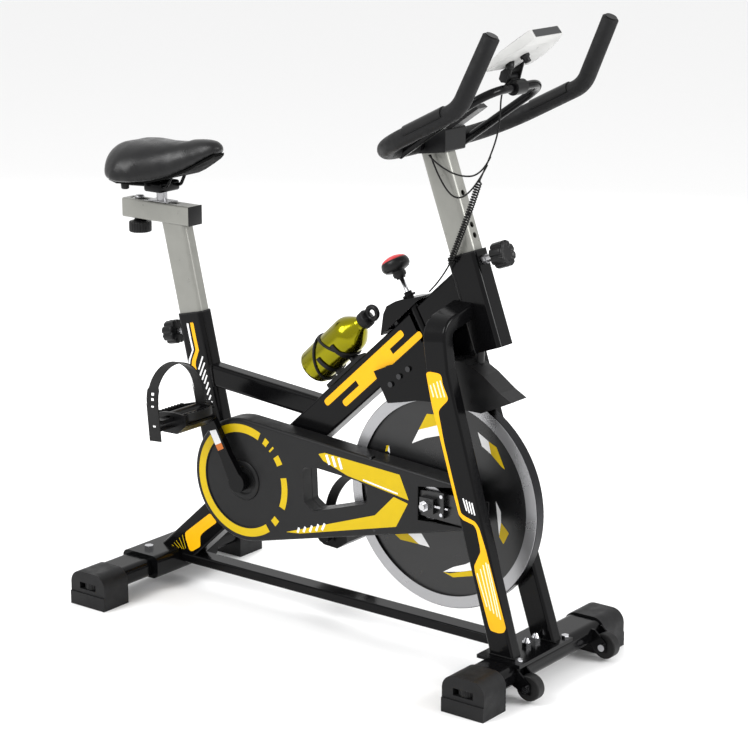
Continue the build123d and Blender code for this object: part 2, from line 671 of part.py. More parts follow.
def make_seat():
    rail = bar((RAIL_BACK, 0, RAIL_MID), (RAIL_FRONT - 3, 0, RAIL_MID), 40, 39.5, 4)
    inner = bar((RAIL_BACK - 5, 0, RAIL_MID), (RAIL_FRONT - 6, 0, RAIL_MID), 40, 39.5, 4, -WALL)
    post = bar(seat_at(-160), seat_at(230), *SEAT_POST)
    post_hollow = bar(seat_at(-170), seat_at(240), *SEAT_POST, -WALL)
    seat_post = (post - post_hollow - block(-700, -300, -60, 60, RAIL_LOW + 1, 1000)) + rail
    top_slot = block(BOLT_X - 22, STEM_X + 45, -7, 7, 800, 820)
    low_slot = block(BOLT_X - 22, BOLT_X + 46, -6, 6, 760, 780)
    seat_post = seat_post - inner - top_slot - low_slot
    for step in range(-2, 4):
        along = PIN_ALONG + 25 * step
        seat_post = seat_post - cyl(seat_at(along, -40), seat_at(along), PIN_R + 0.5)
    plug = bar((RAIL_FRONT - 3, 0, RAIL_MID), (RAIL_FRONT, 0, RAIL_MID), 40, 39.5, 4)
    plug = plug + bar((RAIL_FRONT - 5.9, 0, RAIL_MID), (RAIL_FRONT - 3, 0, RAIL_MID), 40, 39.5, 4, -WALL)
    save("seat_post", keep_largest(seat_post), plug)

    slider = bar((SLIDER_BACK, 0, RAIL_MID), (SLIDER_FRONT, 0, RAIL_MID), 34, 33.5, 2)
    slider = slider - cyl((BOLT_X, 0, 760), (BOLT_X, 0, 820), 5)
    stem = cyl((STEM_X, 0, 790), (STEM_X, 0, 842), 11) & block(-600, -400, -30, 30, 790, 842)
    neck = block(STEM_X - 11, STEM_X + 11, -6.5, 6.5, 790, 812)
    slider = slider + neck + (stem & block(-600, -400, -30, 30, 811.5, 842))
    slider = slider + bar((STEM_X - 26, 0, 811.75), (STEM_X + 30, 0, 811.75), 30, 3, 1)
    save("seat_slider", slider)

    make_saddle()

    knob = fluted_knob((BOLT_X, 0, 740), (BOLT_X, 0, 762), 23.5, 20, 2.0)
    knob = knob + cone((BOLT_X, 0, 762), (BOLT_X, 0, 769.8), 15, 12)
    knob = knob + cyl((BOLT_X, 0, 765), (BOLT_X, 0, 813), 4.95)
    head = cyl((BOLT_X, 0, 811.2), (BOLT_X, 0, 817), 10)
    save("seat_slider_knob", knob + fillet(head.edges().group_by(Axis.Z)[-1], 3))


def keep_largest(shape):
    return shape.solids().sort_by(SortBy.VOLUME)[-1]


def rail_wire(side, radius):
    """Saddle rail: forward wire through the clamp and up into the shell at both ends."""
    y = side * 22.0
    path = FilletPolyline((-548, y * 1.9, 872), (-542, y * 1.8, 846), (-505, y, 845), (-415, y, 845),
                          (-384, y * 0.7, 896), radius=12)
    section = Plane(origin=path @ 0, z_dir=path % 0) * Circle(radius)
    return sweep(section, path=path)


def saddle_spring(side):
    """Short rubber spring block between a rail and the shell."""
    return cone((-528, side * 62, 840), (-528, side * 62, 866), 8, 10)


SADDLE_STATIONS = [      # X, half width, underside, top
    (-577, 52, 880, 921),
    (-570, 78, 868, 930),
    (-552, 98, 859, 936),
    (-522, 109, 856, 938),
    (-488, 100, 857, 938),
    (-455, 76, 861, 939),
    (-425, 56, 869, 942),
    (-395, 42, 881, 947),
    (-365, 34, 897, 951),
    (-342, 27, 910, 951),
    (-328, 18, 919, 946),
    (-322, 8, 925, 939),
]
SADDLE_SPLIT = [(-620, 866), (-552, 866), (-522, 863), (-488, 864), (-455, 868), (-425, 878), (-395, 892),
                (-365, 908), (-342, 920), (-300, 942), (-300, 800), (-620, 800)]


def saddle_section(x, half, low, high):
    """A dome with a nearly flat underside, across the saddle."""
    points = []
    for step in range(13):
        angle = pi * step / 12
        rise = max(sin(angle), 0) ** 0.8
        points.append((x, half * cos(angle), low + 6 + (high - low - 6) * rise))
    points.append((x, -half * 0.93, low))
    points.append((x, half * 0.93, low))
    return Face(Wire(Polyline(*points, close=True).edges()))


def make_saddle():
    """Wide sprung saddle: a loft of rounded sections, split into a shell and a cushion."""
    saddle = loft([saddle_section(*station) for station in SADDLE_STATIONS], ruled=True)
    under = prism(SADDLE_SPLIT, -150, 150)
    shell = saddle & under
    save("saddle_base", shell)
    save("saddle_cushion", saddle - under)
    rails = [rail_wire(side, 3.5) - saddle for side in (-1, 1)]
    springs = [saddle_spring(side) - saddle for side in (-1, 1)]
    clamp = block(STEM_X - 24, STEM_X + 24, -31, 31, 832, 854)
    clamp = fillet(clamp.edges().filter_by(Axis.Y), 8)
    clamp = clamp - cyl((STEM_X, 0, 780), (STEM_X, 0, 842.5), 11.02)
    clamp = clamp - rail_wire(-1, 3.5) - rail_wire(1, 3.5)
    save("saddle_rails", clamp, *[keep_largest(rail) for rail in rails],
         *[keep_lowest(spring) for spring in springs])


# ---------------------------------------------------------------- pull pins and their knobs
def pull_pin(place, along, face, outward, neck):
    """Sprung pin in its nut: a shaft with its tip just clear of the post."""
    def at(forward):
        return place(along, outward * (face + forward))
    pin = cyl(at(0), at(neck + 26), PIN_R - 0.05)
    return pin + cyl(at(4.5), at(13), 9) + cyl(at(13), at(neck - 1), 7)


def pull_knob(place, along, face, outward, neck):
    """Lobed hand knob on the pin's outer end, with a dished face."""
    def at(forward):
        return place(along, outward * (face + forward))
    knob = fluted_knob(at(neck), at(neck + 28), 25, 8, 5.5) + cone(at(neck + 28), at(neck + 31), 20, 16)
    return knob - cyl(at(-1), at(neck + 26), PIN_R)


def make_pins():
    seat_face = SEAT_POST[1] / 2 + 0.3
    bar_face = BAR_POST[1] / 2 + 0.3
    save("seat_post_pin", pull_pin(seat_at, PIN_ALONG, seat_face, -1, 22))
    save("seat_post_knob", pull_knob(seat_at, PIN_ALONG, seat_face, -1, 22))
    save("handlebar_post_pin", pull_pin(head_at, BAR_PIN_ALONG, bar_face, 1, 34))
    save("handlebar_post_knob", pull_knob(head_at, BAR_PIN_ALONG, bar_face, 1, 34))


# ---------------------------------------------------------------- handlebar
POST_LOW = -120.0
POST_HIGH = 200.0
BAR_REAR = (193.0, 997.0)     # rear cross bar, X and Z
BAR_BEND = (399.0, 1100.0)    # where the horns turn up
HORN = (460.0, 1231.0)
BAR_HALF = 200.0
HORN_HALF = 191.0
LOOP_FRONT = (385.0, 1116.0)
LOOP_HALF = 100.0


def bar_path(half_only=0):
    """Centre line of the handlebar, from the right horn round the back to the left horn."""
    points = [(HORN[0], -HORN_HALF, HORN[1]), (BAR_BEND[0], -BAR_HALF, BAR_BEND[1]),
              (BAR_REAR[0], -BAR_HALF, BAR_REAR[1]), (BAR_REAR[0], BAR_HALF, BAR_REAR[1]),
              (BAR_BEND[0], BAR_HALF, BAR_BEND[1]), (HORN[0], HORN_HALF, HORN[1])]
    radii = [60, 100, 100, 60]
    if half_only:
        points = points[:3] + [(BAR_REAR[0], -46, BAR_REAR[1])]
        radii = radii[:2]
    return FilletPolyline(*points, radius=radii)


def round_sweep(path, radius):
    section = Plane(origin=path @ 0, z_dir=path % 0) * Circle(radius)
    return sweep(section, path=path)


def make_handlebar():
    post = bar(head_at(POST_LOW), head_at(POST_HIGH), *BAR_POST)
    post = post - bar(head_at(POST_LOW - 9), head_at(POST_HIGH + 9), *BAR_POST, -WALL)
    for along in (-81, -61, -41, -21, 27, 47, 67, 108):
        post = post - cyl(head_at(along), head_at(along, 40), PIN_R + 0.5)
    post = post - cyl_y(BAR_REAR[0], BAR_REAR[1], BAR_R + 3, -60, 60)
    save("handlebar_post", keep_largest(post))
    tube_bar = round_sweep(bar_path(), BAR_R)
    grip = round_sweep(bar_path(1), GRIP_R) - tube_bar
    save("handlebar_grips", grip, mirror(grip, Plane.XZ))

    stem = prism([(174, 978), (250, 988), (250, 1031), (232, 1034), (190, 1030), (174, 1016)], -32, 32)
    stem = fillet(stem.edges().filter_by(Axis.Y), 4)
    stem = stem + prism([(228, 1030), (250, 1030), (310, 1072), (301, 1078), (244, 1040)], -14, 16)
    stem = stem - bar(head_at(100), head_at(POST_HIGH), *BAR_POST) - tube_bar
    loop = round_sweep(loop_path(), LOOP_R) - round_sweep(bar_path(1), GRIP_R)
    loop = loop - mirror(round_sweep(bar_path(1), GRIP_R), Plane.XZ) - tube_bar
    save("handlebar", tube_bar, keep_largest(loop))
    save("handlebar_stem", keep_largest(stem), console_bracket())
    pad = sensor_pad()
    save("pulse_sensors", pad, mirror(pad, Plane.XZ))


def loop_path():
    x, z = BAR_REAR[0] + 4, BAR_REAR[1] - 10
    points = [(x, -LOOP_HALF, z), (LOOP_FRONT[0], -LOOP_HALF, LOOP_FRONT[1]),
              (LOOP_FRONT[0], LOOP_HALF, LOOP_FRONT[1]), (x, LOOP_HALF, z)]
    return FilletPolyline(*points, radius=55)


def sensor_pad():
    """Curved contact plate on top of one grip."""
    start = Vector(BAR_BEND[0], -BAR_HALF, BAR_BEND[1])
    end = Vector(BAR_REAR[0], -BAR_HALF, BAR_REAR[1])
    way = (end - start).normalized()
    p0, p1 = start + way * 30, start + way * 122
    shell = cyl(p0, p1, GRIP_R + 2.2) - cyl(p0 - way, p1 + way, GRIP_R + 0.02)
    lower = bar(p0 - way, p1 + way, 60, 40, 1)
    shift = way.cross(Vector(0, 1, 0)).normalized()
    if shift.Z > 0:
        shift = shift * -1
    return keep_largest(shell - Pos(*(shift * 20)) * lower)


# ---------------------------------------------------------------- console
CONSOLE_TILT = 34.4
CONSOLE_BACK = (363.0, 1147.0)    # lower rear edge of the case, X and Z
BOOT = (384.0, -24.0)    # rubber boot round the end of the lead, under the case, X and Y
BOOT_LOW = 1150.0


def console_plane():
    a = radians(CONSOLE_TILT)
    x, z = CONSOLE_BACK
    return Plane(origin=(x, 0, z), x_dir=(cos(a), 0, sin(a)), z_dir=(-sin(a), 0, cos(a)))


def make_console():
    plane = console_plane()
    side = [(0, 0), (88, 0), (110, 4), (108, 22), (10, 10), (0, 6)]
    wire = Polyline(*[(x, -74, z) for x, z in side], close=True)
    case = extrude(Face(Wire(wire.edges())), amount=148, dir=(0, 1, 0))
    half_plan = [(0, 66), (6, 74), (44, 74), (111, 45)]
    plan = Polyline(*[(x, -y) for x, y in half_plan], *reversed(half_plan), close=True)
    case = case & (Pos(0, 0, -5) * extrude(Face(Wire(plan.edges())), amount=60, dir=(0, 0, 1)))
    case = case - Pos(26, 0, 15) * Cylinder(7.3, 20)
    save("console_button", plane * (Pos(26, 0, 10.5) * Cylinder(7, 8)))
    hinge = console_hinge()
    above_back = plane * (Pos(45, 0, 30) * Box(200, 200, 60))
    x, z = hinge.X, hinge.Z
    housing = plane * case + cyl_y(x, z, 4, -19, 19)
    for y0, y1 in ((-19, -15.4), (15.4, 19)):
        web = prism([(x - 9, z), (x + 9, z), (x + 16, z + 40), (x - 10, z + 40)], y0, y1)
        ear = cyl_y(x, z, 9, y0, y1) + web
        housing = housing + (ear - above_back)
    boot_end, boot_root = (*BOOT, BOOT_LOW), (*BOOT, BOOT_LOW + 24)
    boot = cyl(boot_end, boot_root, 8) - cyl(boot_end, boot_root, 6)
    save("console_housing", housing + (boot - above_back))


def console_bracket():
    """Clamp on the loop's front tube with the knuckle that the console tilts on."""
    hinge = console_hinge()
    front = Vector(LOOP_FRONT[0], 0, LOOP_FRONT[1])
    clamp = cyl_y(front.X, front.Z, LOOP_R + 6, -16, 16)
    clamp = clamp + bar(front, hinge, 24, 14, 2) + cyl_y(hinge.X, hinge.Z, 9, -15, 15)
    return clamp - cyl_y(front.X, front.Z, LOOP_R, -30, 30) - cyl_y(hinge.X, hinge.Z, 4.05, -30, 30)


def console_hinge():
    return Vector(368, 0, 1132)


# ---------------------------------------------------------------- brake
def make_brake():
    rod = cyl(brake_at(-150), brake_at(8), 8)
    rod = rod - cyl(brake_at(-90), brake_at(20), 4.1)
    carrier = bar(brake_at(-168), brake_at(-148), 22, 34, 2)
    pad = bar(brake_at(-200), brake_at(-168), 22, 50, 2)
    pad = pad - cyl_y(WHEEL_X, WHEEL_Z, WHEEL_R + 4.5, -60, 60)
    save("brake_plunger", rod + carrier, keep_highest(pad))
    rod_top = cyl(brake_at(-80), brake_at(50), 4)
    neck = cone(brake_at(38), brake_at(52), 10, 13)
    head = brake_knob_head()
    save("brake_knob", rod_top + neck + head)


def brake_knob_head():
    """Mushroom knob."""
    profile = Polyline((0, 0), (18, 0), (27, 6), (30, 14), (27, 23), (17, 30), (0, 33), close=True)
    face = Face(Wire([edge.rotate(Axis.X, 90) for edge in profile.edges()]))
    head = revolve(face, Axis.Z, 360)
    a = radians(BRAKE_TILT)
    return Plane(origin=brake_at(50), x_dir=(cos(a), 0, sin(a)), z_dir=(-sin(a), 0, cos(a))) * head


# ---------------------------------------------------------------- bottle
BOTTLE_R = 37.0
BOTTLE_LOW = 258.0       # along the beam from the crank axis
BOTTLE_ABOVE = 90.0      # bottle's axis above the beam's centre line


def make_bottle():
    low, above = BOTTLE_LOW, BOTTLE_ABOVE
    body = cyl(beam_at(low, above), beam_at(low + 128, above), BOTTLE_R)
    body = fillet(body.edges().filter_by(GeomType.CIRCLE), 7)
    shoulder = cone(beam_at(low + 126, above), beam_at(low + 158, above), BOTTLE_R - 6, 15)
    neck = cyl(beam_at(low + 156, above), beam_at(low + 164, above), 12)
    save("bottle", body + shoulder + neck)
    cap = cyl(beam_at(low + 164.2, above), beam_at(low + 182, above), 17)
    ring_mid = beam_at(low + 194, above)
    ring = cyl_y(ring_mid.X, ring_mid.Z, 17, -5, 5) - cyl_y(ring_mid.X, ring_mid.Z, 11, -9, 9)
    save("bottle_cap", cap + ring)

    inner = cyl(beam_at(low - 9, above), beam_at(low + 190, above), BOTTLE_R + 0.5)
    back = bar(beam_at(low + 10, BEAM_DEEP / 2 + 5), beam_at(low + 118, BEAM_DEEP / 2 + 5), 24, 10, 2)
    cage = back
    lower_half = bar(beam_at(low, above - 27), beam_at(low + 190, above - 27), 90, 50, 1)
    stand_mid = BEAM_DEEP / 2 + 9
    for start in (low + 46, low + 92):
        band = cyl(beam_at(start, above), beam_at(start + 8, above), BOTTLE_R + 3) & lower_half
        stand = bar(beam_at(start, stand_mid), beam_at(start + 8, stand_mid), 20, 22, 2)
        cage = cage + band + stand
    save("bottle_cage", keep_largest(cage - inner - beam_bar()))


# ---------------------------------------------------------------- fasteners
TENSION_X = 280.0        # plate that the belt tension stud passes through
TENSION_Y = -71.0


def make_fasteners():
    """Bolts, acorn nuts and axle nuts of the fixed frame."""
    items = []
    for y in (-36, -5):
        items.append(hex_head((450, y, 75), (450, y, 83), 17) + cone((450, y, 83), (450, y, 91), 8, 3))
    for y in (-112, 44):
        items.append(hex_head((484, y, 75), (484, y, 80), 13))
    for y in (-62, 62):
        items.append(hex_head((REAR_X, y, PLATE_TOP), (REAR_X, y, PLATE_TOP + 7), 17))
    for x, z in PLATE_BOLTS:
        items.append(cyl_y(x, z, 5.5, -35, -31))
    for x, z in GUARD_SCREWS:
        items.append(cyl_y(x, z, 2.4, GUARD_NEAR, GUARD_NEAR + 12))
    for y in TRANSPORT_Y.values():
        reach = TRANSPORT_WIDE / 2 + 4
        bolt = cyl_y(WHEEL_BRACKET_X, WHEEL_AXLE_Z, 4.0, y - reach, y + reach)
        bolt = bolt + cyl_y(WHEEL_BRACKET_X, WHEEL_AXLE_Z, 7, y - reach - 5, y - reach)
        items.append(bolt + cyl_y(WHEEL_BRACKET_X, WHEEL_AXLE_Z, 7, y + reach, y + reach + 4))
    for y0, y1 in ((-83, -76), (22, 28)):
        nut = hex_head((WHEEL_X, y0, WHEEL_Z), (WHEEL_X, y1, WHEEL_Z), 19)
        items.append(nut - cyl_y(WHEEL_X, WHEEL_Z, AXLE_R, -100, 100))
    items.append(cyl((260, TENSION_Y, WHEEL_Z), (292, TENSION_Y, WHEEL_Z), 3))
    for z in (309, 345):
        items.append(cyl_y(TENSION_X, z, 3.5, -79, -76))
    save("frame_fasteners", *items)


def make_dropouts():
    """Plates that carry the flywheel axle, one on each leg."""
    near = prism([(222, 296), (222, 345), (345, 350), (378, 350), (378, 290), (345, 290)], -66, -61)
    near = near + block(352, 376, -82, -61, 296, 346)
    near = near + prism([(228, 306), (228, 335), (260, 335), (260, 306)], -76, -66)
    near = near + block(TENSION_X - 4, TENSION_X + 4, -76, -66, 302, 352)
    near = near - cyl((255, TENSION_Y, WHEEL_Z), (300, TENSION_Y, WHEEL_Z), 3)
    near = near - cyl_y(WHEEL_X, WHEEL_Z, AXLE_R, -100, 0) - right_leg()
    far = prism([(226, 302), (226, 339), (400, 350), (400, 300)], 10, 15)
    far = far + prism([(228, 306), (228, 335), (258, 335), (258, 306)], 6.5, 22)
    far = far - cyl_y(WHEEL_X, WHEEL_Z, AXLE_R, -10, 100) - left_leg()
    axle = cyl_y(WHEEL_X, WHEEL_Z, AXLE_R, -90, 27)
    save("flywheel_axle", axle, keep_largest(near), keep_nearest(far, 300))


CORD_Y = -33.0
CORD_R = 6.3             # outside of the curly cord's coil
CABLE_R = 1.6
LEAD_TOP = 1154.4        # end of the lead, inside its boot and clear of the case


def make_cords():
    """Console lead and the two pulse leads, the curly cord and its straight lower end."""
    curl = FilletPolyline((328, CORD_Y, 945), (300, CORD_Y, 866), (262, CORD_Y, 781), radius=300)
    curl_solid = round_sweep(curl, CORD_R)
    lead = FilletPolyline((*BOOT, LEAD_TOP), (*BOOT, 1136), (366, -24, 1107), (367, -27, 1060),
                          (360, CORD_Y, 1008), curl @ 0, radius=[28, 50, 60, 60])
    top_loop = FilletPolyline((212, -31, 980), (228, -32, 966), (282, -35, 947), (334, -36, 955),
                              (354, -36.5, 992), radius=[22, 60, 28])
    low_loop = FilletPolyline((212, -26, 980), (233, -30, 940), (276, -35, 900), (322, -39, 930),
                              (347, -36.5, 976), radius=[40, 40, 60])
    leads = [round_sweep(path, CABLE_R) - curl_solid for path in (lead, top_loop, low_loop)]
    save("console_cables", *leads)
    tail = FilletPolyline(curl @ 1, (244, CORD_Y, 750), (214, -30, 722), radius=30)
    save("curly_cord", curl_solid, round_sweep(tail, CABLE_R) - curl_solid)


make_base()
make_transport_wheels()
make_frame()
make_covers()
make_drive()
make_dropouts()
make_seat()
make_pins()
make_handlebar()
make_console()
make_brake()
make_bottle()
make_fasteners()
make_cords()
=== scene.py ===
import bmesh
import bpy
import json
import math
from mathutils import Matrix, Vector

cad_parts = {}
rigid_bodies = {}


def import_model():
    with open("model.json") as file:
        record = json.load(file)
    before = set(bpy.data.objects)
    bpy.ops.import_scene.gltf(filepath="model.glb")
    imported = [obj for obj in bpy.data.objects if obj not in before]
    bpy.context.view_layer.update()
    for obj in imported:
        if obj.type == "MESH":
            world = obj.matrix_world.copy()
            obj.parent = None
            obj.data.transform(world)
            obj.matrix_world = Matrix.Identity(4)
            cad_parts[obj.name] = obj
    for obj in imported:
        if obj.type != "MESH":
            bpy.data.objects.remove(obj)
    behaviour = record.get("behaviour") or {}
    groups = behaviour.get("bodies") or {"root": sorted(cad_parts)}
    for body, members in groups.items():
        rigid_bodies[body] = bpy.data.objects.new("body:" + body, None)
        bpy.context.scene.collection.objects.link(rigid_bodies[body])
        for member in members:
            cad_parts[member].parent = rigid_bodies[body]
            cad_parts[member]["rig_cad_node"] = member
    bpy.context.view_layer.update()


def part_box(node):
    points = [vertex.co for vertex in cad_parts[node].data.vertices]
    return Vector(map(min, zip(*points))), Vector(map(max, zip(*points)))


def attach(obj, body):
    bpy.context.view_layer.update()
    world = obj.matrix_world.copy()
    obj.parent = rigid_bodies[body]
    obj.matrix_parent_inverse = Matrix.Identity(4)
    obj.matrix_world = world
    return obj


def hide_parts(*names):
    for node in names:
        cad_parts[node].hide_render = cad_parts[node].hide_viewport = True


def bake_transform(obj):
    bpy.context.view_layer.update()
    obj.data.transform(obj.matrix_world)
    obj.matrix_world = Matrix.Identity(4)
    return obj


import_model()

# Looks for the exercise bike.  Lengths in the tables below are millimetres in the bike's own
# drawing, measured from the floor point midway between the stabilisers; at() turns them into
# metres in the row frame, whose origin lies SHIFT behind that point.
SHIFT = 21.0
CRANK = (-215.3, 281.5)         # crank axis, X and Z; lengths along the main beam count from it
ARM = 165.0                     # crank length
SEAT_MOUTH = (-397.3, 570.0)    # top of the seat tube, X and Z
SEAT_LEAN = 13.2                # degrees from upright
HEAD_MOUTH = (277.5, 800.0)     # top of the head tube, X and Z
HEAD_LEAN = 20.0
BRAKE_TOP = (154.7, 703.3)      # where the brake rod leaves its housing, X and Z
BRAKE_LEAN = 30.8
BRAKE_Y = -12.0                 # the flywheel and its brake stand off the middle
BEAM_RISE = 42.46               # slope of the main beam in degrees
BOTTLE_ALONG = 258.0            # foot of the bottle along the beam
BOTTLE_ABOVE = 90.0             # its axis above the beam's
SLIDE_KNOB = (-547.0, 740.0)    # knob under the seat rail, X and Z
LEAD_PLUG = (384.0, -24.0)      # plug of the curly lead under the console, X and Y


def at(x, y, z):
    """A point of the drawing, in row-frame metres."""
    return Vector(((x + SHIFT) / 1000, y / 1000, z / 1000))


def tilted(base, angle, along, forward=0.0, y=0.0):
    """A point in the frame of a tube that leans back by angle from a base point."""
    a = math.radians(angle)
    x = base[0] - along * math.sin(a) + forward * math.cos(a)
    z = base[1] + along * math.cos(a) + forward * math.sin(a)
    return at(x, y, z)


def seat_at(along, forward=0.0, y=0.0):
    """A point in the seat tube's frame: along it from its mouth, forward and across."""
    return tilted(SEAT_MOUTH, SEAT_LEAN, along, forward, y)


def head_at(along, forward=0.0, y=0.0):
    """A point in the head tube's frame: along it from its mouth, forward and across."""
    return tilted(HEAD_MOUTH, HEAD_LEAN, along, forward, y)


def beam_at(along, above=0.0, y=0.0):
    """A point in the main beam's frame: along it from the crank axis, above it and across."""
    a = math.radians(BEAM_RISE)
    x = CRANK[0] + along * math.cos(a) - above * math.sin(a)
    z = CRANK[1] + along * math.sin(a) + above * math.cos(a)
    return at(x, y, z)


def brake_at(along):
    """A point in the brake rod's frame: along it from its housing."""
    return tilted(BRAKE_TOP, BRAKE_LEAN, along, y=BRAKE_Y)


# ---------------------------------------------------------------- camera, light and floor
CAMERA_SPOT = (2.70721, -3.42802, 1.67780)
CAMERA_DOWN = 14.86      # degrees below level
CAMERA_TURN = 37.44      # degrees from looking along +Y
CAMERA_LENS = 110.95     # millimetres, on a sensor 36 mm wide
LAMPS = [     # name, place and size in metres, power in watts
    ("key_light", (-1.2, -3.2, 3.4), 2.0, 120),
    ("side_light", (3.4, 0.6, 2.2), 1.4, 80),
    ("back_light", (-1.5, 3.0, 2.6), 1.6, 70),
]


def make_stage():
    """Camera, white floor, sky and three lamps."""
    camera = bpy.data.objects.new("camera", bpy.data.cameras.new("camera"))
    bpy.context.scene.collection.objects.link(camera)
    camera.location = CAMERA_SPOT
    camera.rotation_euler = (math.radians(90 - CAMERA_DOWN), 0, math.radians(CAMERA_TURN))
    camera.data.lens = CAMERA_LENS
    camera.data.sensor_width = 36
    bpy.context.scene.camera = camera

    floor_mesh = bmesh.new()
    bmesh.ops.create_grid(floor_mesh, x_segments=1, y_segments=1, size=30)
    paper = surface("floor_paper", (0.90, 0.90, 0.90), 0.9, grain=20, bump=0.02, vary=0.02, shine=0.1,
                    patch=0.0)
    floor = put("studio_floor", floor_mesh, None, paper)
    bpy.context.scene.view_settings.view_transform = "Standard"

    world = bpy.data.worlds.new("studio_world")
    bpy.context.scene.world = world
    world.use_nodes = True
    sky = world.node_tree.nodes["Background"]
    sky.inputs["Color"].default_value = (1, 1, 1, 1)
    sky.inputs["Strength"].default_value = 1.0
    for name, spot, size, power in LAMPS:
        lamp = bpy.data.objects.new(name, bpy.data.lights.new(name, "AREA"))
        lamp.data.energy = power
        lamp.data.size = size
        lamp.location = spot
        aim = Vector((0, 0, 0.5)) - Vector(spot)
        lamp.rotation_euler = aim.to_track_quat("-Z", "Y").to_euler()
        lamp.visible_glossy = name != "back_light"
        bpy.context.scene.collection.objects.link(lamp)


# ---------------------------------------------------------------- materials
def surface(name, colour, rough, metal=0.0, coat=0.0, grain=300.0, bump=0.15, depth=0.0004,
            vary=0.2, shine=0.5, patch=0.1):
    """A procedural finish: fine relief, uneven roughness and slightly uneven colour."""
    material = bpy.data.materials.new(name)
    material.use_nodes = True
    nodes, links = material.node_tree.nodes, material.node_tree.links
    shader = nodes["Principled BSDF"]
    place = nodes.new("ShaderNodeTexCoord")
    fine = nodes.new("ShaderNodeTexNoise")
    fine.inputs["Scale"].default_value = grain
    fine.inputs["Detail"].default_value = 6
    wide = nodes.new("ShaderNodeTexNoise")
    wide.inputs["Scale"].default_value = grain / 18
    wide.inputs["Detail"].default_value = 3
    for noise in (fine, wide):
        links.new(place.outputs["Object"], noise.inputs["Vector"])
    uneven = nodes.new("ShaderNodeMapRange")
    uneven.inputs["From Min"].default_value = 0.3
    uneven.inputs["From Max"].default_value = 0.7
    uneven.inputs["To Min"].default_value = rough * (1 - vary)
    uneven.inputs["To Max"].default_value = min(1, rough * (1 + vary))
    links.new(wide.outputs["Fac"], uneven.inputs["Value"])
    links.new(uneven.outputs["Result"], shader.inputs["Roughness"])
    tint = nodes.new("ShaderNodeMix")
    tint.data_type = "RGBA"
    tint.inputs["A"].default_value = (*[c * (1 - patch) for c in colour], 1)
    tint.inputs["B"].default_value = (*[min(1, c * (1 + patch)) for c in colour], 1)
    links.new(wide.outputs["Fac"], tint.inputs["Factor"])
    links.new(tint.outputs["Result"], shader.inputs["Base Color"])
    relief = nodes.new("ShaderNodeBump")
    relief.inputs["Strength"].default_value = bump
    relief.inputs["Distance"].default_value = depth
    links.new(fine.outputs["Fac"], relief.inputs["Height"])
    links.new(relief.outputs["Normal"], shader.inputs["Normal"])
    shader.inputs["Metallic"].default_value = metal
    shader.inputs["Coat Weight"].default_value = coat
    shader.inputs["Specular IOR Level"].default_value = shine
    return material


def distance_node(nodes, links, centre):
    """Distance from a line through centre along Y, in metres."""
    place = nodes.new("ShaderNodeTexCoord")
    centred = nodes.new("ShaderNodeVectorMath")
    centred.operation = "SUBTRACT"
    centred.inputs[1].default_value = centre
    flat = nodes.new("ShaderNodeVectorMath")
    flat.operation = "MULTIPLY"
    flat.inputs[1].default_value = (1, 0, 1)
    radius = nodes.new("ShaderNodeVectorMath")
    radius.operation = "LENGTH"
    links.new(place.outputs["Object"], centred.inputs[0])
    links.new(centred.outputs["Vector"], flat.inputs[0])
    links.new(flat.outputs["Vector"], radius.inputs[0])
    return radius.outputs["Value"]


def banded(name, centre, colours, edges, metals, rough, rings=0.0):
    """A finish whose colour and metal change with distance from an axle along Y."""
    material = surface(name, colours[0], rough, 0.0, 0.0, grain=260, bump=0.08)
    nodes, links = material.node_tree.nodes, material.node_tree.links
    shader = nodes["Principled BSDF"]
    radius = distance_node(nodes, links, centre)
    tint, metal = None, None
    for k, edge in enumerate(edges):
        gate = nodes.new("ShaderNodeMath")
        gate.operation = "GREATER_THAN"
        gate.inputs[1].default_value = edge
        links.new(radius, gate.inputs[0])
        mix = nodes.new("ShaderNodeMix")
        mix.data_type = "RGBA"
        mix.inputs["A"].default_value = (*colours[k], 1)
        mix.inputs["B"].default_value = (*colours[k + 1], 1)
        links.new(gate.outputs["Value"], mix.inputs["Factor"])
        share = nodes.new("ShaderNodeMix")
        share.inputs["A"].default_value = metals[k]
        share.inputs["B"].default_value = metals[k + 1]
        links.new(gate.outputs["Value"], share.inputs["Factor"])
        if tint is not None:
            links.new(tint, mix.inputs["A"])
            links.new(metal, share.inputs["A"])
        tint, metal = mix.outputs["Result"], share.outputs["Result"]
    links.new(tint, shader.inputs["Base Color"])
    links.new(metal, shader.inputs["Metallic"])
    if rings:
        pitch = nodes.new("ShaderNodeMath")
        pitch.operation = "MULTIPLY"
        pitch.inputs[1].default_value = rings
        wave = nodes.new("ShaderNodeMath")
        wave.operation = "SINE"
        relief = nodes.new("ShaderNodeBump")
        relief.inputs["Strength"].default_value = 0.10
        relief.inputs["Distance"].default_value = 0.0002
        links.new(radius, pitch.inputs[0])
        links.new(pitch.outputs["Value"], wave.inputs[0])
        links.new(wave.outputs["Value"], relief.inputs["Height"])
        links.new(relief.outputs["Normal"], shader.inputs["Normal"])
    return material


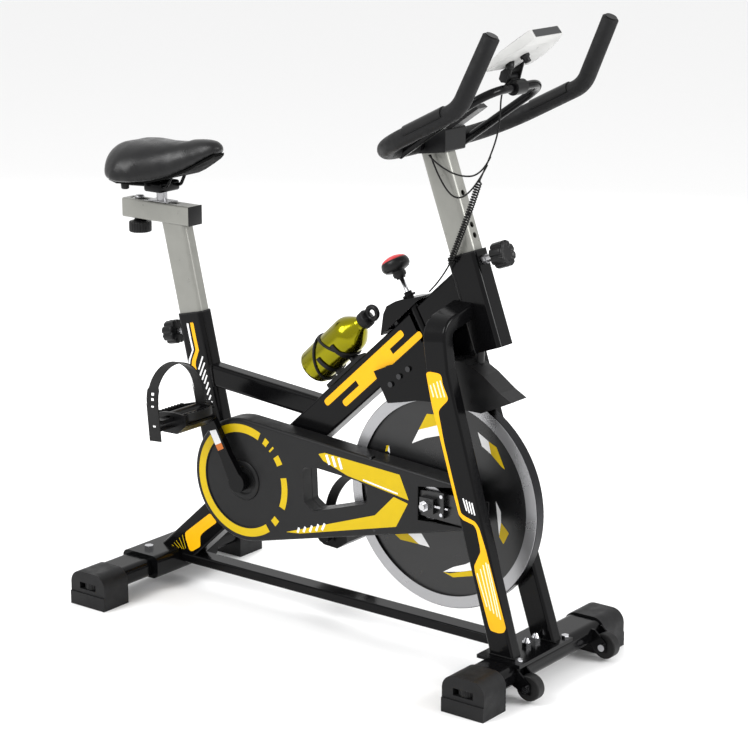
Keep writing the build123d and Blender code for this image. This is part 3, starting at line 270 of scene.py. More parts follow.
AXLE = at(243, 0, 320.5)
M = {
    "black": surface("black_enamel", (0.0025, 0.0025, 0.0028), 0.17, grain=420, bump=0.05, shine=0.13),
    "screw": surface("black_screws", (0.05, 0.05, 0.052), 0.30, 1.0, grain=500),
    "silver": surface("silver_enamel", (0.235, 0.235, 0.215), 0.34, 0.35, grain=700, bump=0.08),
    "steel": surface("zinc_steel", (0.38, 0.38, 0.39), 0.28, 1.0, grain=500),
    "chrome": surface("bright_chrome", (0.55, 0.55, 0.57), 0.14, 1.0, grain=300, bump=0.05),
    # Flywheel finish: black face, silver chrome ring, and past 0.2160 m a near-black metal on the rim's
    # chrome outer face, a painted dark reflection.
    "disc_with_painted_rim": banded("turned_disc_painted_rim_reflection", AXLE,
                   [(0.005, 0.005, 0.0055), (0.36, 0.36, 0.37), (0.022, 0.022, 0.024)],
                   [0.1932, 0.2160], [0.0, 0.85, 1.0], 0.30, 5200),
    "axle": banded("axle_and_plates", AXLE, [(0.55, 0.55, 0.56), (0.006, 0.006, 0.0065)],
                   [0.0065], [1.0, 0.0], 0.32),
    "cap": surface("cap_plastic", (0.007, 0.007, 0.0075), 0.48, grain=900, bump=0.3, shine=0.2),
    "guard": surface("guard_plastic", (0.008, 0.008, 0.0084), 0.38, grain=800, bump=0.15, shine=0.2),
    "fender": surface("fender_plastic", (0.006, 0.006, 0.0063), 0.34, grain=800, bump=0.15, shine=0.22),
    "knob": surface("knob_plastic", (0.0045, 0.0045, 0.0048), 0.34, grain=600, bump=0.2, shine=0.22),
    "leather": surface("saddle_leather", (0.006, 0.006, 0.0064), 0.33, grain=950, bump=0.35, shine=0.3),
    "shell": surface("saddle_shell", (0.003, 0.003, 0.003), 0.75, grain=700, bump=0.2, shine=0.06),
    "foam": surface("grip_foam", (0.006, 0.006, 0.0065), 0.55, grain=1500, bump=0.6, depth=0.0006,
                    shine=0.2),
    "rubber": surface("soft_rubber", (0.006, 0.006, 0.006), 0.5, grain=700, bump=0.3, shine=0.22),
    "cord": surface("cord_jacket", (0.004, 0.004, 0.004), 0.4, grain=900, bump=0.15, shine=0.2),
    "white": surface("console_case", (0.47, 0.47, 0.46), 0.34, grain=500, bump=0.08, shine=0.25),
    "grey": surface("grey_plastic", (0.25, 0.25, 0.245), 0.45, grain=600, bump=0.15),
    "bottle": surface("bottle_lacquer", (0.24, 0.22, 0.003), 0.22, 1.0, 0.15, grain=300, bump=0.04),
    "red": surface("red_dome", (0.55, 0.03, 0.035), 0.28, grain=400, bump=0.05),
    "yellow": surface("yellow_film", (0.84, 0.43, 0.004), 0.33, grain=500, bump=0.05, vary=0.1, shine=0.2),
    "lime": surface("lime_film", (0.56, 0.39, 0.001), 0.33, grain=500, bump=0.05, vary=0.1, shine=0.2),
    "pale": surface("pale_film", (0.88, 0.80, 0.52), 0.38, grain=500, bump=0.05),
    "orange": surface("orange_film", (0.62, 0.17, 0.03), 0.38, grain=500, bump=0.05, shine=0.2),
    "glass": surface("display_window", (0.010, 0.011, 0.012), 0.12, grain=200, bump=0.02),
    "reflector": surface("reflector", (0.75, 0.75, 0.75), 0.20, grain=900, bump=0.5),
    "white_film": surface("white_film", (0.84, 0.84, 0.84), 0.36, grain=500, bump=0.05),
}

LOOKS = {
    "silver": ["seat_post", "handlebar_post"],
    "axle": ["flywheel_axle"],
    "steel": ["flywheel_hub", "crank_spindle", "bottom_bracket_bearings", "seat_slider",
              "seat_post_pin", "handlebar_post_pin"],
    "chrome": ["frame_fasteners"],
    "disc_with_painted_rim": ["flywheel_disc"],
    "cap": ["foot_caps", "tube_bushings"],
    "guard": ["guard_outer", "guard_inner"],
    "fender": ["front_fender"],
    "knob": ["handlebar_stem", "crank_pulley", "pedal_right", "pedal_left", "bottle_cage", "pulse_sensors",
             "leveller_front_right", "leveller_front_left", "leveller_rear_right", "leveller_rear_left"],
    "rubber": ["drive_belt", "transport_wheel_right", "transport_wheel_left"],
    "grey": ["console_button"],
}


def is_black_screw(spot):
    """True on the fender's and guard's screws; those on the floor bars and the axle are bright."""
    by_axle = abs(spot.x - AXLE.x) < 0.050 and abs(spot.z - AXLE.z) < 0.030
    return spot.y < -0.028 and spot.z > 0.18 and not by_axle


def dress_cad():
    """Give each carried-over CAD node its finish."""
    chosen = {node: M[look] for look, nodes in LOOKS.items() for node in nodes}
    for piece in bpy.context.scene.objects:
        node = piece.get("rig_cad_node")
        if node is None or piece.type != "MESH":
            continue
        piece.data.materials.clear()
        piece.data.materials.append(chosen.get(node, M["black"]))
        if node == "frame_fasteners":
            piece.data.materials.append(M["screw"])
            for face in piece.data.polygons:
                face.material_index = int(is_black_screw(piece.matrix_world @ face.center))


# ---------------------------------------------------------------- mesh helpers
def put(name, mesh, body, material, smooth=False, slot=None, replaced=()):
    """Make an object of a bmesh, in row-frame metres, that rides on a body."""
    data = bpy.data.meshes.new(name)
    bmesh.ops.recalc_face_normals(mesh, faces=mesh.faces)
    mesh.to_mesh(data)
    mesh.free()
    thing = bpy.data.objects.new(name, data)
    bpy.context.scene.collection.objects.link(thing)
    data.materials.append(material)
    if smooth:
        data.polygons.foreach_set("use_smooth", [True] * len(data.polygons))
    if body:
        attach(thing, body)
    if replaced:
        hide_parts(*replaced)
    return thing


def eased(outline, reach):
    """An outline with its corners rounded."""
    points = []
    for i, corner in enumerate(outline):
        corner = Vector(corner)
        back, on = Vector(outline[i - 1]) - corner, Vector(outline[(i + 1) % len(outline)]) - corner
        start = corner + back.normalized() * min(reach, back.length * 0.4)
        end = corner + on.normalized() * min(reach, on.length * 0.4)
        for t in (0.0, 0.33, 0.67, 1.0):
            points.append(start * (1 - t) ** 2 + corner * 2 * t * (1 - t) + end * t ** 2)
    return points


def strokes(lines, wide):
    """A thin quadrilateral round each line, given by its two ends."""
    quads = []
    for start, end in lines:
        start, end = Vector(start), Vector(end)
        side = Vector((start.y - end.y, end.x - start.x)).normalized() * wide / 2
        quads.append([start + side, end + side, end - side, start - side])
    return quads


def film(name, body, place, y, outlines, material, slot, reach=2.0):
    """Film pieces on a face that looks along Y; place turns an outline's pairs into points."""
    mesh = bmesh.new()
    for outline in outlines:
        mesh.faces.new([mesh.verts.new(place(a, b, y)) for a, b in eased(outline, reach)])
    return put(name, mesh, body, material, slot=slot)


def flat_at(x, z, y):
    """A point by its X and Z, for films drawn straight on a face."""
    return at(x, y, z)


def side_film(name, body, y, outlines, material, slot, reach=2.0):
    """Film pieces given by their X and Z."""
    return film(name, body, flat_at, y, outlines, material, slot, reach)


def hull_piece(name, body, points, bevel, material, **more):
    """A convex piece round some points, with rounded edges; points and bevel in metres."""
    mesh = bmesh.new()
    verts = [mesh.verts.new(p) for p in points]
    bmesh.ops.convex_hull(mesh, input=verts)
    bmesh.ops.dissolve_limit(mesh, angle_limit=0.02, verts=mesh.verts[:], edges=mesh.edges[:])
    bmesh.ops.bevel(mesh, geom=mesh.edges[:], offset=bevel, segments=3, profile=0.5, affect="EDGES")
    piece = put(name, mesh, body, material, smooth=True, **more)
    piece.data.set_sharp_from_angle(angle=math.radians(50))
    return piece


def ring_band(name, body, centre, y, r0, r1, spans, material, slot):
    """Arcs of a flat ring; spans are start and end angles in degrees from +X to +Z."""
    mesh = bmesh.new()
    for start, end in spans:
        count = max(2, int(abs(end - start) / 3))
        rows = []
        for i in range(count + 1):
            a = math.radians(start + (end - start) * i / count)
            rows.append([mesh.verts.new(at(centre[0] + r * math.cos(a), y, centre[1] + r * math.sin(a)))
                         for r in (r0, r1)])
        for lower, upper in zip(rows, rows[1:]):
            mesh.faces.new((lower[0], lower[1], upper[1], upper[0]))
    return put(name, mesh, body, material, slot=slot)


def skin(mesh, rings):
    """Join closed rings of points, and close the first and the last with a face."""
    count = len(rings[0])
    for lower, upper in zip(rings, rings[1:]):
        for i in range(count):
            mesh.faces.new((lower[i], lower[(i + 1) % count], upper[(i + 1) % count], upper[i]))
    mesh.faces.new(rings[0])
    mesh.faces.new(rings[-1])


def turned(name, profile, origin, axis, body, material, lobes=0, depth=0.0, steps=96, **more):
    """A turned piece from (radius, height) in millimetres; lobes flute its rim."""
    mesh = bmesh.new()
    axis = Vector(axis).normalized()
    side = axis.orthogonal().normalized()
    other = axis.cross(side)
    rings = []
    for radius, height in profile:
        ring = []
        for i in range(steps):
            a = 2 * math.pi * i / steps
            r = radius
            if lobes:
                r = radius - depth * max(0.0, math.cos(lobes * a)) ** 2 * min(1, radius / 20)
            around = (side * math.cos(a) + other * math.sin(a)) * r / 1000
            ring.append(mesh.verts.new(Vector(origin) + around + axis * height / 1000))
        rings.append(ring)
    skin(mesh, rings)
    return put(name, mesh, body, material, smooth=True, **more)


def rounded_rim(radius, low, high, edge, start=0.0):
    """A profile for turned(): a disc from low to high with rounded rims."""
    points = [(start or radius * 0.3, low)]
    for i in range(5):
        a = math.pi / 2 * i / 4
        points.append((radius - edge + edge * math.sin(a), low + edge - edge * math.cos(a)))
    for i in range(5):
        a = math.pi / 2 * i / 4
        points.append((radius - edge + edge * math.cos(a), high - edge + edge * math.sin(a)))
    points.append((radius * 0.3, high))
    return points


def filleted(points, radii):
    """Points along straight runs joined by arcs."""
    points = [Vector(p) for p in points]
    path = [points[0]]
    for before, corner, after, radius in zip(points, points[1:], points[2:], radii):
        back, on = (before - corner).normalized(), (after - corner).normalized()
        half = back.angle(on) / 2
        reach = radius / math.tan(half)
        middle = corner + (back + on).normalized() * (radius / math.sin(half))
        first, last = corner + back * reach, corner + on * reach
        for i in range(13):
            t = i / 12
            u = (first - middle).normalized()
            v = (last - middle).normalized()
            turn = u.angle(v)
            w = (u * math.sin((1 - t) * turn) + v * math.sin(t * turn)) / math.sin(turn)
            path.append(middle + w * radius)
    path.append(points[-1])
    return path


def tube_mesh(path, radius, sides=24, dome=True):
    """A round tube along close points, with domed ends."""
    mesh = bmesh.new()
    path = [Vector(p) for p in path]
    rows = []
    side = None
    for i, spot in enumerate(path):
        way = (path[min(i + 1, len(path) - 1)] - path[max(i - 1, 0)]).normalized()
        if side is None:
            side = way.orthogonal().normalized()
        side = (side - way * side.dot(way)).normalized()
        other = way.cross(side)
        rows.append((spot, way, side.copy(), other))
    shells = []
    if dome:
        spot, way, s, o = rows[0]
        for k in (0.15, 0.5, 0.8):
            shells.append((spot + way * radius * 0.35 * k, s, o, math.sin(math.acos(1 - k)) * radius))
    for spot, way, s, o in rows[1 if dome else 0:-1 if dome else None]:
        shells.append((spot, s, o, radius))
    if dome:
        spot, way, s, o = rows[-1]
        for k in (0.8, 0.5, 0.15):
            shells.append((spot - way * radius * 0.35 * k, s, o, math.sin(math.acos(1 - k)) * radius))
    rings = []
    turns = [2 * math.pi * j / sides for j in range(sides)]
    for spot, s, o, r in shells:
        rings.append([mesh.verts.new(spot + (s * math.cos(a) + o * math.sin(a)) * r) for a in turns])
    skin(mesh, rings)
    return mesh


def length_of(path):
    """Length of a path in metres."""
    return sum((b - a).length for a, b in zip(path, path[1:]))


# ---------------------------------------------------------------- cords
def smooth_route(points, resolution=24):
    """Points along a smooth curve through a cord's route."""
    data = bpy.data.curves.new("route", "CURVE")
    data.dimensions = "3D"
    data.resolution_u = resolution
    spline = data.splines.new("NURBS")
    spline.points.add(len(points) - 1)
    for point, spot in zip(spline.points, points):
        point.co = (*at(*spot), 1)
    spline.order_u = 3
    spline.use_endpoint_u = True
    holder = bpy.data.objects.new("route", data)
    mesh = bpy.data.meshes.new_from_object(holder)
    path = [v.co.copy() for v in mesh.vertices]
    bpy.data.objects.remove(holder)
    bpy.data.curves.remove(data)
    bpy.data.meshes.remove(mesh)
    return path


def coiled(path, radius, turns, per_turn=20):
    """A helix round a path, in metres."""
    total = length_of(path)
    marks = [0.0]
    for a, b in zip(path, path[1:]):
        marks.append(marks[-1] + (b - a).length)
    points = []
    count = turns * per_turn
    k = 0
    for i in range(count + 1):
        s = total * i / count
        while k < len(marks) - 2 and marks[k + 1] < s:
            k += 1
        t = (s - marks[k]) / (marks[k + 1] - marks[k])
        spot = path[k].lerp(path[k + 1], t)
        way = (path[k + 1] - path[k]).normalized()
        side = Vector((0, 1, 0))
        side = (side - way * side.dot(way)).normalized()
        other = way.cross(side)
        a = 2 * math.pi * i / per_turn
        ease = min(1.0, i / per_turn, (count - i) / per_turn)
        points.append(spot + (side * math.cos(a) + other * math.sin(a)) * radius * ease)
    return points


WIRE = 0.0032
CURL_R = 0.0047      # radius of the curly part's turns
CURL_TURNS = 34
LEAD = [(*LEAD_PLUG, 1154.4), (*LEAD_PLUG, 1136), (366, -24, 1107), (367, -27, 1060), (360, -33, 1008),
        (328, -33, 945)]
CURL = [(328, -33, 945), (300, -33, 866), (262, -33, 781)]
TAIL = [(262, -33, 781), (244, -33, 750), (214, -30, 722)]
LOOPS = {
    "pulse_lead_upper": [(212, -31, 980), (228, -32, 966), (282, -35, 947), (334, -36, 955),
                         (354, -36.5, 992)],
    "pulse_lead_lower": [(212, -26, 980), (233, -30, 940), (276, -35, 900), (322, -39, 930),
                         (347, -36.5, 976)],
}


def make_cords():
    """The console's lead with its curly part, and the two pulse leads."""
    route = smooth_route(LEAD) + coiled(smooth_route(CURL), CURL_R, CURL_TURNS) + smooth_route(TAIL)
    path = [route[0]]
    for spot in route[1:]:
        if (spot - path[-1]).length > 0.0004:
            path.append(spot)
    lead = put("console_lead", tube_mesh(path, WIRE / 2, 10), None, M["cord"], smooth=True, slot="rubber",
               replaced=("curly_cord", "console_cables"))
    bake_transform(lead)
    for name, points in LOOPS.items():
        route = smooth_route(points)
        loop = put(name, tube_mesh(route, WIRE / 2, 12), "handlebar_set", M["cord"], smooth=True,
                   slot="rubber", replaced=("console_cables",))


# ---------------------------------------------------------------- handlebar
def make_grips():
    """A foam grip over each horn and its bend."""
    bend, rear, horn = (399, 1100), (193, 997), (460, 1231)
    for name, sign in (("grip_right", -1), ("grip_left", 1)):
        corners = [at(horn[0], sign * 191, horn[1]), at(bend[0], sign * 200, bend[1]),
                   at(rear[0], sign * 200, rear[1]), at(rear[0], sign * 46, rear[1])]
        path = filleted(corners, [0.060, 0.100])
        grip = put(name, tube_mesh(path, 0.016, 48), "handlebar_set", M["foam"], smooth=True, slot="foam",
                   replaced=("handlebar_grips",))


# ---------------------------------------------------------------- saddle
STATIONS = [     # X, half width, underside and top of the saddle
    (-577, 52, 880, 921), (-570, 78, 868, 930), (-552, 98, 859, 936), (-522, 109, 856, 938),
    (-488, 100, 857, 938), (-455, 76, 861, 939), (-425, 56, 869, 942), (-395, 42, 881, 947),
    (-365, 34, 897, 951), (-342, 27, 910, 951), (-328, 18, 919, 946), (-322, 8, 925, 939)]


def saddle_ring(x, half, low, high, split):
    """A section of the cushion across the bike, above the shell's edge."""
    ring = []
    floor = max(low + 1, split)
    for i in range(25):
        a = math.pi * i / 24
        rise = max(math.sin(a), 0) ** 0.8
        z = low + 6 + (high - low - 6) * rise
        dish = 5.0 * math.exp(-((a - math.pi / 2) / 0.25) ** 2) * (0.2 if x > -400 else 1.0)
        ring.append(at(x, half * math.cos(a), max(z - dish, floor)))
    for i in range(1, 12):
        t = 1 - 2 * i / 12
        ring.append(at(x, -half * t * 0.97, floor))
    return ring


SPLIT = [(-620, 864), (-552, 860), (-522, 857), (-488, 858), (-455, 862), (-425, 871), (-395, 886),
         (-365, 903), (-342, 916), (-300, 939)]


def split_height(x):
    """Height of the cushion's lower edge."""
    for (x0, z0), (x1, z1) in zip(SPLIT, SPLIT[1:]):
        if x <= x1:
            return z0 + (z1 - z0) * (x - x0) / (x1 - x0)
    return SPLIT[-1][1]


def make_saddle():
    """The cushion, built from sections between the stations."""
    mesh = bmesh.new()
    rings = []
    for a, b in zip(STATIONS, STATIONS[1:]):
        for k in range(3):
            t = k / 3
            values = [p + (q - p) * t for p, q in zip(a, b)]
            rings.append([mesh.verts.new(v) for v in saddle_ring(*values, split_height(values[0]))])
    rings.append([mesh.verts.new(v) for v in saddle_ring(*STATIONS[-1], split_height(STATIONS[-1][0]))])
    skin(mesh, rings)
    cushion = put("saddle_padding", mesh, None, M["leather"], smooth=True)
    soften(cushion)
    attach(cushion, "saddle")
    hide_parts("saddle_cushion")


def make_saddle_shell():
    """Thin dark shell under the cushion."""
    mesh = bmesh.new()
    rings = []
    for x, half, low, _ in STATIONS[1:-1]:
        rings.append([mesh.verts.new(at(x, side * half * 0.86, z))
                      for side, z in ((-1, low), (1, low), (1, low + 5), (-1, low + 5))])
    skin(mesh, rings)
    put("saddle_shell", mesh, "saddle", M["shell"], slot="saddle_leather", replaced=("saddle_base",))


def apply_modifiers(thing):
    """Turn a piece's modifiers into its own mesh."""
    bpy.context.view_layer.update()
    shape = bpy.data.meshes.new_from_object(thing.evaluated_get(bpy.context.evaluated_depsgraph_get()))
    thing.modifiers.clear()
    thing.data = shape


CLOTH_FRAMES = 20
SWELL = 0.003        # the furthest that the pressure may move a point, in metres


def soften(thing):
    """Inflate the cushion a little as cloth over its base, then smooth it."""
    remesh = thing.modifiers.new("remesh", "REMESH")
    remesh.mode = "VOXEL"
    remesh.voxel_size = 0.0055
    smooth = thing.modifiers.new("smooth", "SMOOTH")
    smooth.iterations = 8
    smooth.factor = 0.5
    apply_modifiers(thing)
    before = [v.co.copy() for v in thing.data.vertices]
    pinned = thing.vertex_groups.new(name="pinned")
    low = min(v.z for v in before)
    for vertex in thing.data.vertices:
        edge = split_height(vertex.co.x * 1000 - SHIFT) / 1000 + 0.010
        pinned.add([vertex.index], 1.0 if vertex.co.z < max(edge, low + 0.004) else 0.0, "REPLACE")
    cloth = thing.modifiers.new("cloth", "CLOTH")
    cloth.settings.quality = 5
    cloth.settings.mass = 0.3
    cloth.settings.tension_stiffness = 30
    cloth.settings.compression_stiffness = 30
    cloth.settings.use_pressure = True
    cloth.settings.uniform_pressure_force = 4
    cloth.settings.effector_weights.gravity = 0
    cloth.settings.vertex_group_mass = "pinned"
    cloth.point_cache.frame_end = CLOTH_FRAMES
    for number in range(1, CLOTH_FRAMES + 1):
        bpy.context.scene.frame_set(number)
    apply_modifiers(thing)
    bpy.context.scene.frame_set(1)
    for vertex, old in zip(thing.data.vertices, before):
        move = vertex.co - old
        if move.length > SWELL:
            vertex.co = old + move.normalized() * SWELL
    thing.data.polygons.foreach_set("use_smooth", [True] * len(thing.data.polygons))
    smooth = thing.modifiers.new("smooth", "SMOOTH")
    smooth.iterations = 3
    finer = thing.modifiers.new("finer", "SUBSURF")
    finer.levels = 1
    finer.render_levels = 1
    apply_modifiers(thing)
    thing.data.materials.clear()
    thing.data.materials.append(M["leather"])


# ---------------------------------------------------------------- knobs, bottle and small parts
def make_knobs():
    """The two pull knobs, the knob under the seat rail and the brake's knob."""
    seat_out = (seat_at(-16, -90) - seat_at(-16, 0)).normalized()
    head_out = (head_at(-21, 90) - head_at(-21, 0)).normalized()
    dish = [(17, 28), (15.5, 26.5), (12, 26.2), (4, 26.2)]
    profile = [(9, 0)] + rounded_rim(25, 0, 28, 4, 9)[1:-1] + dish
    turned("seat_pull_knob", profile, seat_at(-16, -53.3), seat_out, "seat_knob", M["knob"], 8, 3.6,
           slot="knob_plastic", replaced=("seat_post_knob",))
    turned("handlebar_pull_knob", profile, head_at(-21, 63.3), head_out, "handlebar_knob", M["knob"],
           8, 3.6, slot="knob_plastic", replaced=("handlebar_post_knob",))
    foot = at(SLIDE_KNOB[0], 0, SLIDE_KNOB[1])
    shank = [(4.9, 73), (4.9, 28), (11, 27.5), (15, 22.5), (20, 22)] + rounded_rim(23.5, 0, 22, 3, 3)[::-1]
    turned("seat_slide_knob", shank, foot, (0, 0, 1), "slider_knob", M["knob"], 24, 1.2, steps=192,
           slot="knob_plastic")
    bolt = [(4.9, 66), (10, 71.2), (10, 74.5), (8, 76.5), (5, 77.2), (1, 77.4)]
    turned("seat_slide_bolt", bolt, foot, (0, 0, 1), "slider_knob", M["steel"], slot="steel",
           replaced=("seat_slider_knob",))

    up = (brake_at(1) - brake_at(0)).normalized()
    head = [(9, 36), (9.5, 39), (13, 41), (13.5, 47), (12, 50), (17, 51), (24, 54), (27.5, 59),
            (28.5, 64), (27, 70), (25.5, 73)]
    turned("brake_head", head, brake_at(0), up, "brake_handle", M["knob"], slot="red_dome",
           replaced=("brake_knob",))
    dome = [(25.5, 73), (22, 76.6), (16, 79.6), (9, 81.6), (3, 82.4), (0.5, 82.5)]
    turned("brake_dome", dome, brake_at(0), up, "brake_handle", M["red"], slot="red_dome")
    turned("brake_rod", [(4.4, -60), (4.4, 38)], brake_at(0), up, "brake_handle", M["chrome"],
           slot="red_dome")


def make_bottle():
    """The bottle, its lid and the ring on the lid."""
    foot = beam_at(BOTTLE_ALONG, BOTTLE_ABOVE)
    way = (beam_at(BOTTLE_ALONG + 9, BOTTLE_ABOVE) - foot).normalized()
    body = [(20, 3), (24, 1), (30, 0), (34.5, 1.6), (36.6, 5), (37, 9), (37, 118), (36.4, 125), (34, 132),
            (29.5, 139), (24.5, 146), (20, 152), (16.5, 156), (15, 158), (15, 163.5)]
    turned("bottle_body", body, foot, way, "water_bottle", M["bottle"], slot="bottle_paint",
           replaced=("bottle",))
    cap = [(10, 164.2), (17, 164.2), (17.5, 166), (17.5, 178), (16, 181), (10, 182)]
    turned("bottle_cap_skirt", cap, foot, way, "bottle_lid", M["knob"], 30, 0.6, 240,
           slot="knob_plastic", replaced=("bottle_cap",))
    centre = beam_at(BOTTLE_ALONG + 194, BOTTLE_ABOVE)
    path = []
    for i in range(49):
        a = 2 * math.pi * i / 48
        path.append(centre + Vector((math.cos(a), 0, math.sin(a))) * 0.0118)
    put("bottle_cap_loop", tube_mesh(path, 0.0052, 16, dome=False), "bottle_lid", M["knob"], smooth=True,
        slot="knob_plastic")


def weld(name, body, start, end, radius=2.4, step=3.2, slot="black_frame"):
    """A weld bead: a row of overlapping drops."""
    mesh = bmesh.new()
    way = end - start
    count = max(2, int(way.length * 1000 / step))
    for i in range(count + 1):
        spot = start + way * i / count
        turn = way.to_track_quat("X", "Z").to_matrix().to_4x4()
        bmesh.ops.create_uvsphere(mesh, u_segments=10, v_segments=6, radius=radius / 1000,
                                  matrix=Matrix.Translation(spot) @ turn)
    put(name, mesh, body, M["black"], smooth=True, slot=slot)


def make_welds():
    """Beads at the head tube, the top tube and the feet of the front legs."""
    weld("weld_head_side", "frame", at(267, -21.5, 762), at(300, -21.5, 668))
    weld("weld_top_tube_rear", "frame", at(-343, -18.5, 489), at(-336, -18.5, 447))
    weld("weld_base_right_leg", "frame", at(420, -112, 76), at(472, -112, 76))
    weld("weld_base_left_leg", "frame", at(436, 6.5, 76), at(486, 6.5, 76))


# ---------------------------------------------------------------- films on the painted parts
FILM = 0.3           # how far a film's face stands off the part under it
FIN_DEPTH = 4.7      # how far the flywheel's fins lie behind its nearest face
BEAM_FACE = -20.0    # Y of the painted parts' right faces
SEAT_FACE = -19.0
LEG_FACE = -112.0
ARM_FACE = -94.0
BOSS_FACE = -69.9


def make_guard_films():
    """The ring round the crank and the two bands on the belt guard, with their stripes."""
    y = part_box("guard_outer")[0].y * 1000 - FILM
    ring_band("ring_film", "frame", CRANK, y, 100, 117, [(66, 306)], M["lime"], "guard_plastic")
    blocks = [(53, 59), (45, 47), (27, 37), (-21, 13), (-44, -36)]
    ring_band("ring_blocks", "frame", CRANK, y, 101, 116, blocks, M["lime"], "guard_plastic")
    upper = [(-20, 373), (-4, 378), (178, 368), (200, 321), (52, 342), (-8, 361)]
    side_film("band_upper", "frame", y, [upper], M["lime"], "guard_plastic")
    stripes = strokes([((0 + d, 375 - d * 0.03), (8 + d, 356 - d * 0.12)) for d in (0, 15, 30)], 6)
    side_film("band_upper_stripes", "frame", y - 0.2, stripes, M["white_film"], "guard_plastic", 1)
    side_film("band_upper_line", "frame", y - 0.2, strokes([((90, 341), (174, 329))], 3), M["white_film"],
              "guard_plastic", 1)
    lower = [(-104, 195), (119, 275), (164, 321), (198, 314), (170, 262), (-69, 199)]
    side_film("band_lower", "frame", y, [lower], M["lime"], "guard_plastic")
    stripes = strokes([((-74, 200), (-70, 211)), ((-59, 204), (-54, 216)), ((-43, 208), (-37, 222)),
                       ((-27, 213), (-21, 228)), ((-12, 218), (-5, 233))], 5)
    side_film("band_lower_stripes", "frame", y - 0.2, stripes, M["white_film"], "guard_plastic", 1)
    boss = [(27, 0), (28, 2.4), (30, 3.2), (38, 3.2), (40, 2.4), (42, 0)]
    turned("guard_crank_boss", boss, at(CRANK[0], BOSS_FACE, CRANK[1]), (0, -1, 0), "frame", M["guard"],
           slot="guard_plastic")


def make_beam_films():
    """Two bars joined by a block on the main beam, and the film on its rear strut."""
    y = BEAM_FACE - FILM
    upper = [(247, 8), (247, 22), (503, 22), (503, 8)]
    film("beam_film_upper", "frame", beam_at, y, [upper], M["yellow"], "black_frame", 7)
    lower = [(285, -18), (285, -4), (538, -4), (538, -18)]
    film("beam_film_lower", "frame", beam_at, y, [lower], M["yellow"], "black_frame", 7)
    middle = [(343, -5), (343, 9), (455, 9), (455, -5)]
    film("beam_film_middle", "frame", beam_at, y - 0.05, [middle], M["yellow"], "black_frame", 0.5)
    strut = [(-423, 114), (-352, 171), (-333, 155), (-369, 127), (-379, 117), (-381, 109), (-380, 92),
             (-404, 76), (-412, 77), (-422, 101)]
    side_film("strut_film", "frame", y, [strut], M["yellow"], "black_frame", 5)
    rays = [((-461, 79), (-452, 75)), ((-455, 85), (-441, 76)), ((-449, 91), (-432, 76)),
            ((-440, 99), (-427, 76)), ((-431, 107), (-422, 79))]
    side_film("strut_lines", "frame", y, strokes(rays, 1.6), M["lime"], "black_frame", 0.5)


def make_seat_tube_films():
    """A yellow and a white bent line, and slanted dashes beside them."""
    y = SEAT_FACE - FILM
    yellow = [(1, 0), (-25, 0), (-56, 1), (-76, -14), (-86, -18), (-97, -17), (-118, -17), (-118, -8),
              (-102, -7), (-87, -7), (-77, -3), (-58, 10), (-31, 9), (0, 9)]
    film("seat_tube_yellow", "frame", seat_at, y, [yellow], M["yellow"], "black_frame")
    white = [(0, -10), (0, -5), (-30, -5), (-55, -4), (-76, -19), (-86, -23), (-105, -23), (-134, -22),
             (-163, -20), (-164, -24), (-134, -25), (-104, -28), (-86, -27), (-76, -24), (-56, -9),
             (-30, -10)]
    film("seat_tube_white", "frame", seat_at, y, [white], M["white_film"], "black_frame", 1)
    dashes = [((-71, 17), (-97, -1)), ((-84, 19), (-110, -1)), ((-99, 18), (-119, 3)),
              ((-110, 19), (-127, 7)), ((-125, 19), (-139, 9)), ((-137, 20), (-151, 9)),
              ((-152, 19), (-162, 11)), ((-165, 19), (-175, 12))]
    film("seat_tube_dashes", "frame", seat_at, y, strokes(dashes, 3.6), M["white_film"], "black_frame", 1)


def make_leg_films():
    """A long yellow film down the front leg, narrow in its middle, with groups of short lines."""
    y = LEG_FACE - FILM
    leg = [(268, 591), (275, 595), (297, 595), (303, 591), (306, 576), (318, 552), (317, 546),
           (300, 528), (297, 521), (310, 466), (331, 397), (350, 336), (359, 332), (382, 326),
           (391, 316), (407, 276), (414, 254), (454, 134), (450, 124), (438, 120), (420, 121),
           (416, 128), (383, 228), (381, 240), (395, 270), (393, 281), (385, 311), (379, 319),
           (354, 324), (345, 332), (329, 381), (294, 494), (282, 530), (275, 560)]
    side_film("leg_film", "frame", y, [leg], M["yellow"], "black_frame", 4)
    upper = [((278, 570), (286, 548)), ((285, 574), (295, 548)), ((293, 579), (303, 550)),
             ((300, 582), (311, 552))]
    side_film("leg_film_upper_lines", "frame", y - 0.2, strokes(upper, 3), M["pale"], "black_frame", 1)
    lower = [((388, 227), (411, 166)), ((395, 237), (419, 160)), ((401, 246), (427, 156)),
             ((407, 252), (435, 152)), ((412, 250), (442, 148))]
    side_film("leg_film_lower_lines", "frame", y - 0.2, strokes(lower, 2.6), M["pale"], "black_frame", 1)
    rungs = [((354, 366), (363, 343)), ((361, 364), (369, 340)), ((368, 362), (375, 339)),
             ((374, 361), (381, 338))]
    side_film("leg_film_rungs", "frame", y, strokes(rungs, 3), M["white_film"], "black_frame", 1)


